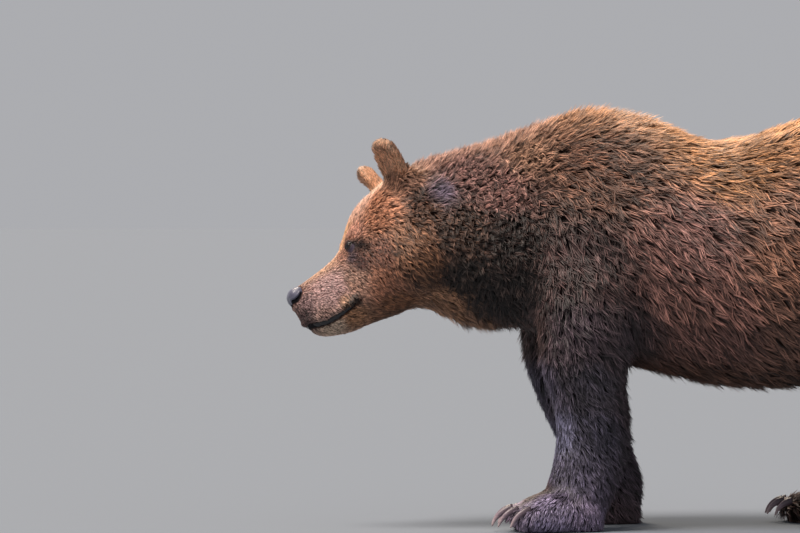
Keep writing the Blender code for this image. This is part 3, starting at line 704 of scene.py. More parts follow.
BODY_TRACTS = (
    # A patch behind the ear: dark hair whose violet tips are painted sheen.
    Tract(N, (-0.486, -0.160, 0.726), 0.036, (0.8, -0.1, 0.4), 0.024, 36, 0.34, 0.0019, 20, "#141017", "#7E7084"),
    Tract(N, (-0.470, 0.000, 0.812), 0.070, (0.95, 0.0, 0.3), 0.036, 54, 0.60, 0.0020, 16, "#5A382F", "#BE9687"),
    Tract(N, (-0.370, 0.000, 0.845), 0.080, (0.9, 0.0, 0.3), 0.038, 56, 0.55, 0.0022, 13, "#4C2F27", "#CDA08B"),
    Tract(N, (-0.430, -0.130, 0.775), 0.060, (0.9, -0.1, 0.0), 0.024, 48, 0.80, 0.0020, 18, "#381F1A", "#9D7770"),
    Tract(N, (-0.360, -0.160, 0.730), 0.070, (0.8, -0.1, -0.3), 0.025, 46, 0.85, 0.0021, 17, "#2A1613", "#99726A"),
    Tract(N, (-0.430, -0.170, 0.650), 0.060, (0.6, -0.1, -0.7), 0.025, 42, 0.95, 0.0023, 16, "#150B07", "#5A4135"),
    Tract(N, (-0.340, -0.180, 0.630), 0.070, (0.6, -0.1, -0.7), 0.027, 42, 0.95, 0.0024, 15, "#060302", "#34231E"),
    Tract(N, (-0.440, -0.140, 0.555), 0.055, (0.4, 0.0, -0.9), 0.028, 40, 0.95, 0.0024, 15, "#040302", "#312520"),
    Tract(N, (-0.350, -0.150, 0.510), 0.075, (0.4, 0.0, -0.9), 0.035, 38, 0.95, 0.0025, 13, "#020101", "#2D2320"),
    Tract(N, (-0.440, 0.000, 0.440), 0.060, (0.5, 0.0, -0.8), 0.050, 36, 0.50, 0.0028, 8, "#3A291D", "#AA8064"),
    Tract(N, (-0.310, -0.130, 0.805), 0.055, (0.85, -0.1, 0.0), 0.036, 50, 0.65, 0.0024, 13, "#54362A", "#CFA288"),
    Tract(S, (-0.300, 0.000, 0.420), 0.070, (0.3, 0.0, -0.9), 0.050, 34, 0.50, 0.0030, 5, "#110A0A", "#473530"),
    Tract(S, (-0.147, 0.000, 0.906), 0.090, (0.9, 0.0, 0.2), 0.052, 48, 0.35, 0.0030, 7, "#543323", "#C99673"),
    Tract(S, (-0.170, -0.170, 0.780), 0.090, (0.8, -0.1, -0.4), 0.050, 34, 0.40, 0.0030, 7, "#261610", "#805B4A"),
    Tract(S, (-0.190, -0.220, 0.600), 0.090, (0.5, -0.1, -0.8), 0.050, 30, 0.45, 0.0031, 6, "#130C0D", "#553F3D"),
    Tract(B, (0.080, 0.000, 0.860), 0.100, (1, 0.0, 0.1), 0.048, 28, 0.25, 0.0032, 5, "#6A4029", "#D49D73"),
    Tract(B, (0.300, 0.000, 0.885), 0.100, (1, 0.0, 0.0), 0.048, 26, 0.25, 0.0033, 5, "#815032", "#E4A97A"),
    Tract(B, (0.480, 0.000, 0.895), 0.100, (1, 0.0, -0.2), 0.048, 26, 0.25, 0.0033, 5, "#815032", "#E1A478"),
    Tract(B, (0.120, -0.170, 0.790), 0.090, (0.9, -0.1, -0.4), 0.048, 26, 0.25, 0.0033, 5, "#50301E", "#AD7A52"),
    Tract(B, (0.380, -0.180, 0.810), 0.090, (0.9, -0.1, -0.4), 0.048, 26, 0.25, 0.0034, 4.4, "#643C27", "#C68D62"),
    Tract(L, (0.040, -0.230, 0.640), 0.100, (0.7, -0.1, -0.6), 0.052, 26, 0.30, 0.0034, 4.4, "#2E1D1B", "#916961"),
    Tract(L, (0.250, -0.250, 0.640), 0.110, (0.8, -0.1, -0.6), 0.052, 26, 0.28, 0.0035, 4.0, "#37211B", "#9B6F5B"),
    Tract(L, (0.080, -0.230, 0.460), 0.100, (0.7, 0.0, -0.7), 0.054, 26, 0.30, 0.0035, 4.0, "#2E2120", "#876158"),
    Tract(L, (0.280, -0.230, 0.440), 0.100, (0.8, 0.0, -0.6), 0.054, 26, 0.30, 0.0035, 3.8, "#2C201B", "#815E50"),
    Tract(L, (0.100, 0.000, 0.310), 0.110, (0.9, 0.0, -0.3), 0.052, 26, 0.40, 0.0036, 2.8, "#241815", "#6A4D40"),
    Tract(L, (0.300, 0.000, 0.300), 0.110, (0.9, 0.0, -0.3), 0.050, 26, 0.40, 0.0036, 2.8, "#1F1411", "#573F34"),
    Tract(H, (0.640, 0.000, 0.845), 0.090, (0.8, 0.0, -0.5), 0.050, 26, 0.25, 0.0034, 4.4, "#663E28", "#C99269"),
    Tract(H, (0.600, -0.200, 0.720), 0.100, (0.6, -0.1, -0.8), 0.052, 26, 0.28, 0.0035, 4.0, "#3A2115", "#946648"),
    Tract(H, (0.700, -0.080, 0.600), 0.090, (0.2, 0.0, -0.9), 0.052, 26, 0.30, 0.0036, 3.6, "#24150E", "#6B4835"),
    Tract(H, (0.480, -0.250, 0.580), 0.100, (0.3, 0.0, -0.9), 0.052, 26, 0.28, 0.0035, 4.0, "#24140E", "#704C38"),
    Tract(H, (0.790, 0.000, 0.640), 0.060, (0.5, 0.0, -0.8), 0.055, 24, 0.30, 0.0034, 6, "#3A2216", "#8A6046"),
    Tract(K, (0.470, -0.240, 0.420), 0.080, (0.2, 0.0, -1), 0.046, 26, 0.28, 0.0034, 4.6, "#180E0C", "#4E372E"),
    Tract(K, (0.590, -0.190, 0.380), 0.080, (0.4, 0.0, -0.9), 0.046, 28, 0.30, 0.0034, 4.6, "#180E0C", "#52392E"),
    Tract(K, (0.450, -0.080, 0.380), 0.080, (0.2, 0.0, -1), 0.040, 24, 0.28, 0.0034, 3.6, "#140D0B", "#44312B"),
    Tract(K, (0.520, -0.200, 0.240), 0.070, (0.2, 0.0, -1), 0.034, 24, 0.25, 0.0030, 6, "#120C0C", "#43343A"),
    Tract(K, (0.610, -0.150, 0.230), 0.060, (0.4, 0.0, -0.9), 0.038, 28, 0.28, 0.0030, 6, "#110B0B", "#403032"),
    Tract(K, (0.540, -0.200, 0.140), 0.050, (0.1, 0.0, -1), 0.026, 22, 0.20, 0.0026, 8, "#120D10", "#4A3F4A"),
    # Many foreleg rows have bluish and mauve tips: dark hair with painted sheen, the sky's light on the glossy coat.
    Tract(A, (-0.200, -0.230, 0.440), 0.070, (0.45, 0.0, -0.9), 0.046, 28, 0.40, 0.0028, 8, "#100A0D", "#51434A"),
    Tract(A, (-0.290, -0.150, 0.440), 0.055, (0.2, 0.0, -1), 0.044, 30, 0.45, 0.0028, 7, "#180F10", "#5F4B48"),
    Tract(A, (-0.100, -0.220, 0.420), 0.070, (0.5, 0.0, -0.8), 0.048, 28, 0.35, 0.0030, 7, "#0E090B", "#473A3E"),
    Tract(A, (-0.270, -0.150, 0.330), 0.050, (0.3, 0.0, -1), 0.034, 26, 0.25, 0.0025, 10, "#1A171E", "#615A6B"),
    Tract(A, (-0.170, -0.225, 0.330), 0.055, (0.5, 0.0, -0.85), 0.036, 26, 0.28, 0.0026, 9, "#0E0B0F", "#464049"),
    Tract(A, (-0.235, -0.160, 0.220), 0.045, (0.35, 0.0, -0.95), 0.026, 22, 0.18, 0.0022, 13, "#2A2833", "#7A7890"),
    Tract(A, (-0.160, -0.205, 0.220), 0.050, (0.5, 0.0, -0.85), 0.030, 24, 0.20, 0.0023, 11, "#0E0D12", "#464250"),
    Tract(A, (-0.070, -0.160, 0.300), 0.050, (0.7, 0.0, -0.7), 0.044, 32, 0.30, 0.0028, 8, "#0F0B0E", "#463A3F"),
    Tract(A, (-0.060, -0.150, 0.210), 0.040, (0.9, 0.0, -0.4), 0.048, 30, 0.30, 0.0027, 8, "#131014", "#4B4149"),
    Tract(A, (-0.170, -0.060, 0.300), 0.060, (0.3, 0.0, -0.95), 0.034, 24, 0.25, 0.0028, 6, "#1C1212", "#5A4540"),
    Tract(A, (-0.200, -0.145, 0.130), 0.045, (0.3, 0.0, -0.95), 0.022, 20, 0.15, 0.0021, 14, "#1C1920", "#5D576A"),
    Tract(A, (-0.080, -0.140, 0.110), 0.040, (0.6, 0.0, -0.8), 0.036, 28, 0.25, 0.0025, 9, "#100D11", "#453B45"),
    # The forepaws' bluish and lavender tips are painted sheen over the dark hair.
    Tract(P, (-0.250, -0.140, 0.085), 0.030, (-0.7, 0.0, -0.6), 0.016, 20, 0.15, 0.0018, 20, "#1F1312", "#564442"),
    Tract(P, (-0.272, -0.150, 0.082), 0.026, (-0.8, 0.0, -0.5), 0.015, 20, 0.15, 0.0017, 22, "#150C0C", "#4A3638"),
    Tract(P, (-0.222, -0.190, 0.074), 0.018, (-0.5, 0.0, -0.8), 0.018, 20, 0.15, 0.0019, 18, "#1B1720", "#5E5468"),
    Tract(P, (-0.240, -0.200, 0.045), 0.030, (-0.4, -0.1, -0.9), 0.017, 20, 0.15, 0.0018, 20, "#3E3045", "#A599B6"),
    Tract(P, (-0.170, -0.190, 0.035), 0.030, (0.1, 0.0, -1), 0.020, 22, 0.18, 0.0019, 18, "#2C2633", "#8E8099"),
    Tract(P, (-0.310, -0.140, 0.055), 0.022, (-0.9, 0.0, -0.3), 0.013, 20, 0.12, 0.0016, 26, "#392E3B", "#9B899F"),
    Tract(P, (0.480, -0.160, 0.085), 0.035, (-0.7, 0.0, -0.6), 0.017, 20, 0.15, 0.0020, 15, "#1E1718", "#5E4E54"),
    Tract(P, (0.470, -0.210, 0.040), 0.035, (-0.4, -0.1, -0.9), 0.017, 20, 0.15, 0.0020, 15, "#1E181C", "#62545E"),
    Tract(P, (0.580, -0.160, 0.040), 0.035, (0.2, 0.0, -1), 0.020, 22, 0.18, 0.0021, 13, "#181315", "#51444A"),
)


# The right feet stand behind and ahead of the left ones, and the legs lean with them.
LEG_PARTS = (Part.FORELEGS, Part.HINDLEGS, Part.PAWS)
FORE_STRIDE = 0.092
HIND_STRIDE = -0.112
LEG_HEIGHT = 0.48
# The forelegs lie ahead of this X, and the hind legs behind it.
MID_BODY = 0.2


@dataclass
class CoatMap:
    """How the coat grows at any place, mixed from the tracts round it."""

    middles: Array = field(init=False)
    reaches: Array = field(init=False)
    facts: Array = field(init=False)
    parts: list[Part] = field(init=False)
    # How flat each tract is round its middle, and how sharply it gives way to the next.
    core: float = 0.05
    sharpness: float = 2.5
    # Points mixed at a time, which keeps the tables small.
    batch: int = 20000

    def __post_init__(self) -> None:
        """Lays the tracts out on both sides, with the ears' own added."""
        rows = []
        for tract in (*HEAD_TRACTS, *BODY_TRACTS):
            for side in Side:
                at, lie = side.of(tract.at), side.of(tract.lie)
                if side is Side.RIGHT and tract.part in LEG_PARTS:
                    stride = FORE_STRIDE if at.x < MID_BODY else HIND_STRIDE
                    at.x += stride * max(0.0, 1 - at.z / LEG_HEIGHT)
                if tract.on_head:
                    at, lie = HEAD @ at, HEAD_TURN @ lie
                rows.append((tract, at, lie))
        for side in Side:
            rows.extend(Ear(side).tracts())
        self.parts = [tract.part for tract, _, _ in rows]
        self.middles = np.array([list(at) for _, at, _ in rows])
        self.reaches = np.array([tract.reach**2 for tract, _, _ in rows])
        self.facts = np.array(
            [
                [*lie.normalized(), t.length, math.radians(t.lift), t.frizz, t.width, t.crowd]
                + [*linear(t.root), *linear(t.tip)]
                for t, _, lie in rows
            ]
        )

    def weights(self, points: Array) -> Array:
        """Each tract's share at each point.

        Args:
            points: Where.

        Returns:
            A row of shares for each point, which add up to one.
        """
        gap = ((points[:, None, :] - self.middles[None]) ** 2).sum(2)
        share = (self.reaches / (gap + self.core * self.reaches)) ** self.sharpness
        return share / share.sum(1, keepdims=True)

    def read(self, points: Array) -> tuple[Array, Array]:
        """Mixes the tracts' facts.

        Args:
            points: Where.

        Returns:
            The facts, in the order of the tracts' own, and the index of the part that rules there.
        """
        order = list(Part)
        member = np.zeros((len(self.parts), len(order)))
        for i, part in enumerate(self.parts):
            member[i, order.index(part)] = 1.0
        facts, rule = [], []
        for start in range(0, len(points), self.batch):
            share = self.weights(points[start : start + self.batch])
            facts.append(share @ self.facts)
            rule.append((share @ member).argmax(1))
        return np.concatenate(facts), np.concatenate(rule)


@dataclass(frozen=True)
class Ear:
    """One ear: a thick upright shell whose bowl faces forwards and out."""

    side: Side
    middle: Triple = (0.014, 0.112, 0.155)
    half: Triple = (0.024, 0.047, 0.062)
    lean_out: float = math.radians(26.0)
    turn_out: float = math.radians(16.0)
    # The ear's colours are raised close to white: partly its pale fur, partly painted light of the sun on and
    # through the thin ear.
    root: str = "#FFAA7C"
    back: str = "#FFCAA6"
    rim: str = "#FFD4B6"
    bowl: str = "#D09A80"

    def place(self) -> Matrix:
        """The ear's frame: X is the way the bowl faces, Z runs to the tip.

        Returns:
            The matrix from it to the bear.
        """
        way = self.side.value
        lean = Matrix.Rotation(-self.lean_out * way, 4, "X")
        turn = Matrix.Rotation(self.turn_out * way, 4, "Z")
        return HEAD @ Matrix.Translation(self.side.of(self.middle)) @ lean @ turn

    def tracts(self) -> list[tuple[Tract, Vector, Vector]]:
        """The ear's coat: short on its back, longer and paler at the rim, dim in the bowl, and close to white,
        partly as painted light.

        Returns:
            Each tract, its middle and its hair's lie, on the bear.
        """
        place, turn = self.place(), self.place().to_3x3()
        depth, width, height = self.half
        spots = (
            ((-depth * 0.8, 0, 0), 0.034, (-0.2, 0, 1), 0.014, 28, self.root, self.back),
            ((0, width * 0.9, 0), 0.028, (0, 0.3, 1), 0.014, 30, self.root, self.back),
            ((0, -width * 0.9, 0), 0.028, (0, -0.3, 1), 0.014, 30, self.root, self.back),
            ((0, 0, height), 0.020, (0.1, 0, 1), 0.012, 44, "#FFB890", self.rim),
            ((0, width * 0.65, height * 0.7), 0.018, (0, 0.6, 1), 0.012, 42, "#FFB890", self.rim),
            ((0, -width * 0.65, height * 0.7), 0.018, (0, -0.6, 1), 0.012, 42, "#FFB890", self.rim),
            ((depth * 0.5, 0, 0), 0.018, (0.5, 0, 1), 0.014, 30, "#3A241C", self.bowl),
            ((depth * 0.3, 0, -height * 0.8), 0.024, (0.2, 0.3, 1), 0.024, 36, "#2A1812", "#7E5A48"),
        )
        made = []
        for at, reach, lie, length, lift, root, tip in spots:
            row = Tract(Part.FACE, at, reach, lie, length, lift, 0.16, 0.0015, 46, root, tip)
            made.append((row, place @ Vector(at), turn @ Vector(lie)))
        return made


# --------------------------------------------------------------------------- eyes and lids


@dataclass(frozen=True)
class Eye:
    """One eye: a wet ball with a raised cornea, deep under the brow, and its two lids."""

    side: Side
    middle: Triple = (0.1665, 0.0540, 0.0485)
    radius: float = 0.0112
    outwards: Triple = (0.62, 0.76, 0.14)
    # The opening between the lids: half its length, and how high it reaches above and below.
    half_length: float = 0.0102
    above: float = 0.0042
    below: float = 0.0058
    # The inner corner lies forwards and lower than the outer one.
    slant: float = math.radians(4.0)
    lid: float = 0.0013
    # How far from its axis the face is drawn in to the ball, and how far the ball pushes it out.
    drawn_in: tuple[float, float] = (math.radians(46.0), math.radians(84.0))
    pushed_out: tuple[float, float] = (math.radians(104.0), math.radians(128.0))
    rim: float = 0.0009
    # How far down the lower lid is bare, and its colour.
    bare_lid: float = 0.0058
    lid_tint: str = "#6A5C68"
    points: int = 40
    # How far from its middle the eye shapes the skin, and how far the lids' bare skin can lie from it.
    reach: float = 0.034
    lid_reach: float = 0.03
    # How far the skin in the opening lies behind the ball's face.
    hollow: float = 0.0035
    # The cornea's half angle, and how far it stands out as a share of the radius.
    cornea: float = math.radians(46.0)
    bulge: float = 0.075

    def frame(self) -> Matrix:
        """The eye's frame: X to the inner corner, Y up, Z outwards.

        Returns:
            The matrix from it to the bear.
        """
        out = (HEAD_TURN @ self.side.of(self.outwards)).normalized()
        ahead = HEAD_TURN @ Vector((math.cos(self.slant), 0.0, -math.sin(self.slant)))
        ahead = (ahead - out * ahead.dot(out)).normalized()
        up = ahead.cross(out) * self.side.value
        turn = Matrix((ahead, up, out)).transposed().to_4x4()
        return Matrix.Translation(HEAD @ self.side.of(self.middle)) @ turn

    def edge(self, along: Array) -> tuple[Array, Array]:
        """The lids' edges, above and below, at places along the opening from -1 to 1."""
        arch = np.sqrt(np.maximum(1 - along**2, 0.0))
        return self.above * arch, -self.below * arch * (1 + 0.25 * along)

    def press(self, points: Array) -> Array:
        """Wraps the skin over the ball as lids, and opens it between them.

        Args:
            points: The skin's points.

        Returns:
            The points, moved round this eye only.
        """
        place = self.frame()
        local = moved(points, place.inverted())
        away = np.linalg.norm(local, axis=1)
        angle = np.arccos(np.clip(local[:, 2] / np.maximum(away, 1e-9), -1, 1))
        near = (away < self.reach) & (angle < self.pushed_out[1])
        spot = local[near]
        shell = self.radius + self.lid
        pressed = 1 - fade(angle[near], *self.drawn_in)
        pushed = 1 - fade(angle[near], *self.pushed_out)
        share = np.where(away[near] > shell, pressed, pushed)
        goal = spot / np.maximum(away[near], 1e-9)[:, None] * shell
        along = np.clip(goal[:, 0] / self.half_length, -1, 1)
        top, bottom = self.edge(along)
        inside = (abs(goal[:, 0]) < self.half_length) & (goal[:, 1] < top) & (goal[:, 1] > bottom)
        inside &= goal[:, 2] > 0
        goal[inside] *= (self.radius - self.hollow) / shell
        spot = spot + (goal - spot) * share[:, None]
        local[near] = spot
        made = points.copy()
        made[near] = moved(local, place)[near]
        return made

    def in_front(self, local: Array) -> Array:
        """Which points, in the eye's frame, lie ahead of its middle and close to it."""
        return (local[:, 2] > 0) & (np.linalg.norm(local, axis=1) < self.lid_reach)

    def bare(self, points: Array) -> Array:
        """Which points lie on the opening or its hairless rims.

        Args:
            points: The skin's points.

        Returns:
            Whether each one does.
        """
        local = moved(points, self.frame().inverted())
        along = local[:, 0] / (self.half_length + 0.002)
        top, bottom = self.edge(np.clip(along, -1, 1))
        arch = np.sqrt(np.maximum(1 - along**2, 0.0))
        slit = (abs(along) < 1) & (local[:, 1] < top + 0.0010) & (local[:, 1] > bottom - self.bare_lid * arch)
        return slit & self.in_front(local)

    def lid_share(self, points: Array) -> Array:
        """How much of the lower lid's own colour the skin has at each point.

        Args:
            points: The skin's points.

        Returns:
            A share from 0 to 1 for each.
        """
        local = moved(points, self.frame().inverted())
        along = np.clip(local[:, 0] / (self.half_length + 0.003), -1, 1)
        _, bottom = self.edge(along)
        drop = bottom - local[:, 1]
        share = fade(drop, -0.0008, 0.0012) * (1 - fade(drop, 0.006, 0.011)) * fade(1 - abs(along), 0.0, 0.35)
        return share * self.in_front(local)

    def ball(self, finish: Material) -> Thing:
        """Builds the ball with its cornea.

        Args:
            finish: The piece's material.

        Returns:
            The piece.
        """
        name = f"eyeball_{self.side.name.lower()}"
        shape = bmesh.new()
        bmesh.ops.create_uvsphere(shape, u_segments=48, v_segments=40, radius=self.radius)
        away = []
        for vert in shape.verts:
            angle = vert.co.angle(Vector((0, 0, 1)))
            away.append(angle / math.pi)
            vert.co *= 1 + self.bulge * max(0.0, math.cos(min(angle / self.cornea, 1.0) * math.pi / 2))
        shape.transform(self.frame())
        bmesh.ops.recalc_face_normals(shape, faces=shape.faces)
        made = object_from(name, shape)
        put_attribute(made.data, "away", np.array(away) * 1.9)
        dress(made, finish)
        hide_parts(f"eye_{self.side.name.lower()}")
        return made

    def rims(self, finish: Material) -> Thing:
        """Builds the lids' moist edges as one closed ring.

        Args:
            finish: The piece's material.

        Returns:
            The piece.
        """
        place = self.frame()
        turn = np.linspace(0, math.tau, self.points, endpoint=False)
        along = np.cos(turn)
        top, bottom = self.edge(along)
        height = np.where(np.sin(turn) >= 0, top, bottom)
        centres = []
        for x, y in zip(along * self.half_length, height):
            z = math.sqrt(max((self.radius + 0.0006) ** 2 - x * x - y * y, 1e-9))
            centres.append(Vector((x, y, z)))
        shape = bmesh.new()
        section = bmesh.ops.create_circle(shape, segments=10, radius=0.25)["verts"]
        stand = Matrix.Translation((1.0, 0.0, 0.0)) @ Matrix.Rotation(math.pi / 2, 4, "X")
        bmesh.ops.transform(shape, matrix=stand, verts=section)
        geom = shape.verts[:] + shape.edges[:]
        bmesh.ops.spin(shape, geom=geom, axis=(0, 0, 1), angle=math.tau, steps=self.points, use_merge=True)
        # The plain ring is bent to the opening, each of its points by its place round the ring and the section.
        for vert in shape.verts:
            x, y, z = vert.co
            i = round(math.atan2(y, x) / math.tau * self.points) % self.points
            turned = math.atan2(z, math.hypot(x, y) - 1.0)
            centre = centres[i]
            ahead = (centres[(i + 1) % self.points] - centres[i - 1]).normalized()
            out = centre.normalized()
            side = out.cross(ahead).normalized()
            wide = self.rim * (1.15 if centre.y > 0 else 0.9)
            vert.co = place @ (centre + side * math.cos(turned) * wide * 1.5 + out * math.sin(turned) * wide)
        bmesh.ops.recalc_face_normals(shape, faces=shape.faces)
        made = object_from(f"lid_rims_{self.side.name.lower()}", shape)
        dress(made, finish)
        return made


# --------------------------------------------------------------------------- nose and mouth


@dataclass(frozen=True)
class Nose:
    """The nose pad: a broad leathery wedge with a comma-shaped nostril on each side and a groove."""

    middle: Triple = (0.3118, 0.0, 0.0140)
    half: Triple = (0.0190, 0.0310, 0.0200)
    squareness: float = 2.8
    narrowing: float = 0.42
    nostril: Triple = (0.3240, 0.0185, 0.0050)
    nostril_half: tuple[float, float] = (0.0064, 0.0040)
    slit_end: Triple = (0.3055, 0.0295, 0.0145)
    sunk: float = 0.0085
    groove: float = 0.0018
    groove_width: float = 0.0016
    # The raised rim round each nostril.
    ridge: float = 0.0009
    ridge_width: float = 0.002
    # How far the top rolls back.
    roll: float = 0.16

    def build(self, finish: Material) -> Thing:
        """Builds the pad, which replaces the plain nose.

        Args:
            finish: The piece's material.

        Returns:
            The piece.
        """
        shape = bmesh.new()
        bmesh.ops.create_icosphere(shape, subdivisions=6, radius=1.0)
        points = np.array([vert.co for vert in shape.verts])
        power = (np.abs(points) ** self.squareness).sum(1) ** (-1 / self.squareness)
        points = points * power[:, None]
        # The pad narrows to the lip below, and its front stands upright and rolls over at the top.
        lower = fade(-points[:, 2], -0.1, 1.0)
        points[:, 1] *= 1 - self.narrowing * lower
        points[:, 0] -= self.roll * fade(points[:, 2], 0.3, 1.0) * np.maximum(points[:, 0], 0)
        points = points * np.array(self.half) + np.array(self.middle)
        inwards = unit(np.array(self.middle) - points)
        hollow = np.zeros(len(points))
        for side in Side:
            hole, end = np.array(side.of(self.nostril)), np.array(side.of(self.slit_end))
            run = end - hole
            share = np.clip(((points - hole) @ run) / (run @ run), 0, 1)
            gap = np.linalg.norm(points - hole - share[:, None] * run, axis=1)
            wide = self.nostril_half[0] * (1 - share) + self.nostril_half[1] * 0.55 * share
            depth = self.sunk * (1 - 0.65 * share)
            points += inwards * (np.exp(-((gap / wide) ** 4)) * depth)[:, None]
            hollow = np.maximum(hollow, np.exp(-((gap / (wide * 0.95)) ** 4)))
            ridge = np.exp(-(((gap - wide * 1.7) / self.ridge_width) ** 2)) * self.ridge
            points -= inwards * ridge[:, None]
        line = np.exp(-((points[:, 1] / self.groove_width) ** 2)) * fade(points[:, 0], 0.306, 0.316)
        line *= 1 - fade(points[:, 2], 0.010, 0.022)
        points += inwards * (line * self.groove)[:, None]
        for vert, point in zip(shape.verts, points):
            vert.co = HEAD @ Vector(point)
        made = object_from("nose_pad", shape)
        # The hollow share marks the nostrils, which the leather paints dark as shade.
        put_attribute(made.data, "hollow", hollow)
        dress(made, finish)
        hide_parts("nose")
        return made

    def bare(self, points: Array) -> Array:
        """Which points, in the head's frame, lie on or right beside the pad."""
        reach = (points - np.array(self.middle)) / (np.array(self.half) + 0.0015)
        return (np.abs(reach) ** 2.4).sum(1) < 1.0


@dataclass(frozen=True)
class Fold:
    """A rounded swelling or hollow of the face, in the head's frame and once on each side."""

    at: Triple
    reach: float
    push: float


FOLDS = (
    # The brow hangs over the eye.
    Fold((0.158, 0.070, 0.064), 0.013, 0.0050),
    # The lower lid's bag, the crease below it, and the tear groove at the inner corner.
    Fold((0.180, 0.066, 0.036), 0.007, 0.0024),
    Fold((0.187, 0.068, 0.023), 0.005, -0.0018),
    Fold((0.189, 0.054, 0.047), 0.005, -0.0026),
    # The whisker pad and the hollow behind it.
    Fold((0.285, 0.052, -0.038), 0.020, 0.0022),
    Fold((0.228, 0.062, -0.024), 0.016, -0.0020),
)


@dataclass(frozen=True)
class Mouth:
    """The closed mouth: its line in the head's frame, the groove in the skin and the dark lips."""

    # How the line runs from the corner to the front: x and height.
    line: tuple[tuple[float, float], ...] = (
        (0.217, -0.0595),
        (0.225, -0.0605),
        (0.245, -0.0625),
        (0.268, -0.0650),
        (0.290, -0.0640),
        (0.308, -0.0585),
        (0.322, -0.0500),
    )
    groove: float = 0.0036
    groove_width: float = 0.0028
    overhang: float = 0.0030
    # How far above the line the upper lip is fullest, and how broad the swelling is.
    fullest: float = 0.0085
    fullness: float = 0.0065
    # The shallow groove where the upper lips meet under the nose.
    split: float = 0.0022
    split_width: float = 0.0020
    lip: float = 0.0052
    sunk: float = 0.0016
    # The lip swells and narrows along its length, by this share.
    unevenness: float = 0.24
    # How far the bare edge of the lower lip shows below the line.
    bare_height: float = 0.0090

    def height(self, ahead: Array) -> Array:
        """The line's height at distances along the head."""
        xs, zs = zip(*self.line)
        return np.interp(ahead, xs, zs)

    def sculpt(self, local: Array, normals: Array) -> Array:
        """Cuts the groove, and lets the upper lip hang over it.

        Args:
            local: Points in the head's frame.
            normals: Their normals in it.

        Returns:
            The moved points.
        """
        rise = local[:, 2] - self.height(local[:, 0])
        along = fade(local[:, 0], 0.200, 0.212)
        cut = np.exp(-((rise / self.groove_width) ** 2)) * self.groove
        over = np.exp(-(((rise - self.fullest) / self.fullness) ** 2)) * self.overhang
        shift = (over - cut) * along
        split = np.exp(-((local[:, 1] / self.split_width) ** 2)) * self.split
        split *= fade(local[:, 0], 0.300, 0.308) * fade(rise, 0.0, 0.004) * (local[:, 2] < 0.004)
        return local + normals * (shift - split)[:, None]

    def bare(self, local: Array) -> Array:
        """Which points, in the head's frame, lie on the lips.

        Args:
            local: The points, in the head's frame.

        Returns:
            Whether each one does.
        """
        rise = local[:, 2] - self.height(local[:, 0])
        wide = self.bare_height * fade(local[:, 0], 0.198, 0.235) + 0.001
        return (local[:, 0] > 0.203) & (rise < 0.0004) & (rise > -wide)

    def lips(self, skin: BVHTree, finish: Material) -> Thing:
        """Builds the lower lip's bare edge, which shows below the upper lip from corner to corner.

        Args:
            skin: The finished skin, to lie on.
            finish: The piece's material.

        Returns:
            The piece.
        """
        places = []
        for angle in np.radians(np.linspace(-158, 158, 90)):
            way = Vector((math.cos(angle), math.sin(angle), 0.0))
            hit, guess = None, 0.29
            for _ in range(4):
                height = float(self.height(np.array([guess]))[0])
                start = Vector((0.262, 0.0, height - 0.0042)) + way * Vector((1, 1, 0)).length * 0.09
                hit, normal, _, _ = skin.ray_cast(HEAD @ start, HEAD_TURN @ -way, 0.16)
                if hit is None:
                    break
                guess = (TO_HEAD @ hit).x
            if hit is not None and guess > self.line[0][0]:
                places.append((TO_HEAD @ hit, HEAD_TURN.inverted() @ normal))
        rings = []
        count = len(places)
        for i, (centre, normal) in enumerate(places):
            ahead = places[min(i + 1, count - 1)][0] - places[max(i - 1, 0)][0]
            ahead.normalize()
            side = ahead.cross(normal).normalized()
            taper = min(1.0, 0.25 + min(i, count - 1 - i) / 9)
            taper *= 1 - 0.45 * float(fade(np.array(centre.x), 0.300, 0.322))
            swell = 1 + self.unevenness * (math.sin(i * 1.31) * 0.6 + math.sin(i * 0.57 + 1.0) * 0.4)
            ring = []
            for k in range(12):
                turned = math.tau * k / 12
                offset = side * math.cos(turned) * self.lip + normal * math.sin(turned) * self.lip * 0.55
                ring.append(HEAD @ (centre - normal * self.sunk + offset * taper * swell))
            rings.append(ring)
        shape = bmesh.new()
        swept(shape, rings)
        made = object_from("lips", shape)
        dress(made, finish)
        return made


# --------------------------------------------------------------------------- claws


@dataclass(frozen=True)
class Foot:
    """Where one foot stands and how its toes and claws are laid out."""

    name: str
    heel: float
    out: float
    toe_out: float
    reach: float
    half_width: float
    claw: float

    def place(self) -> Matrix:
        """The foot's frame: X runs from the heel to the toes, Z up.

        Returns:
            The matrix from it to the bear.
        """
        way = Side[self.name.split("_")[1].upper()].value
        turn = Matrix.Rotation(math.pi + self.toe_out * way, 4, "Z")
        return Matrix.Translation(Vector((self.heel, -self.out * way, 0.0)) + CENTRING) @ turn


FEET = (
    Foot("fore_left", -0.122, 0.132, math.radians(9.0), 0.178, 0.068, 0.046),
    Foot("fore_right", -0.030, 0.132, math.radians(-4.0), 0.178, 0.068, 0.046),
    Foot("hind_left", 0.628, 0.148, math.radians(8.0), 0.220, 0.061, 0.036),
    Foot("hind_right", 0.516, 0.148, math.radians(8.0), 0.220, 0.061, 0.036),
)


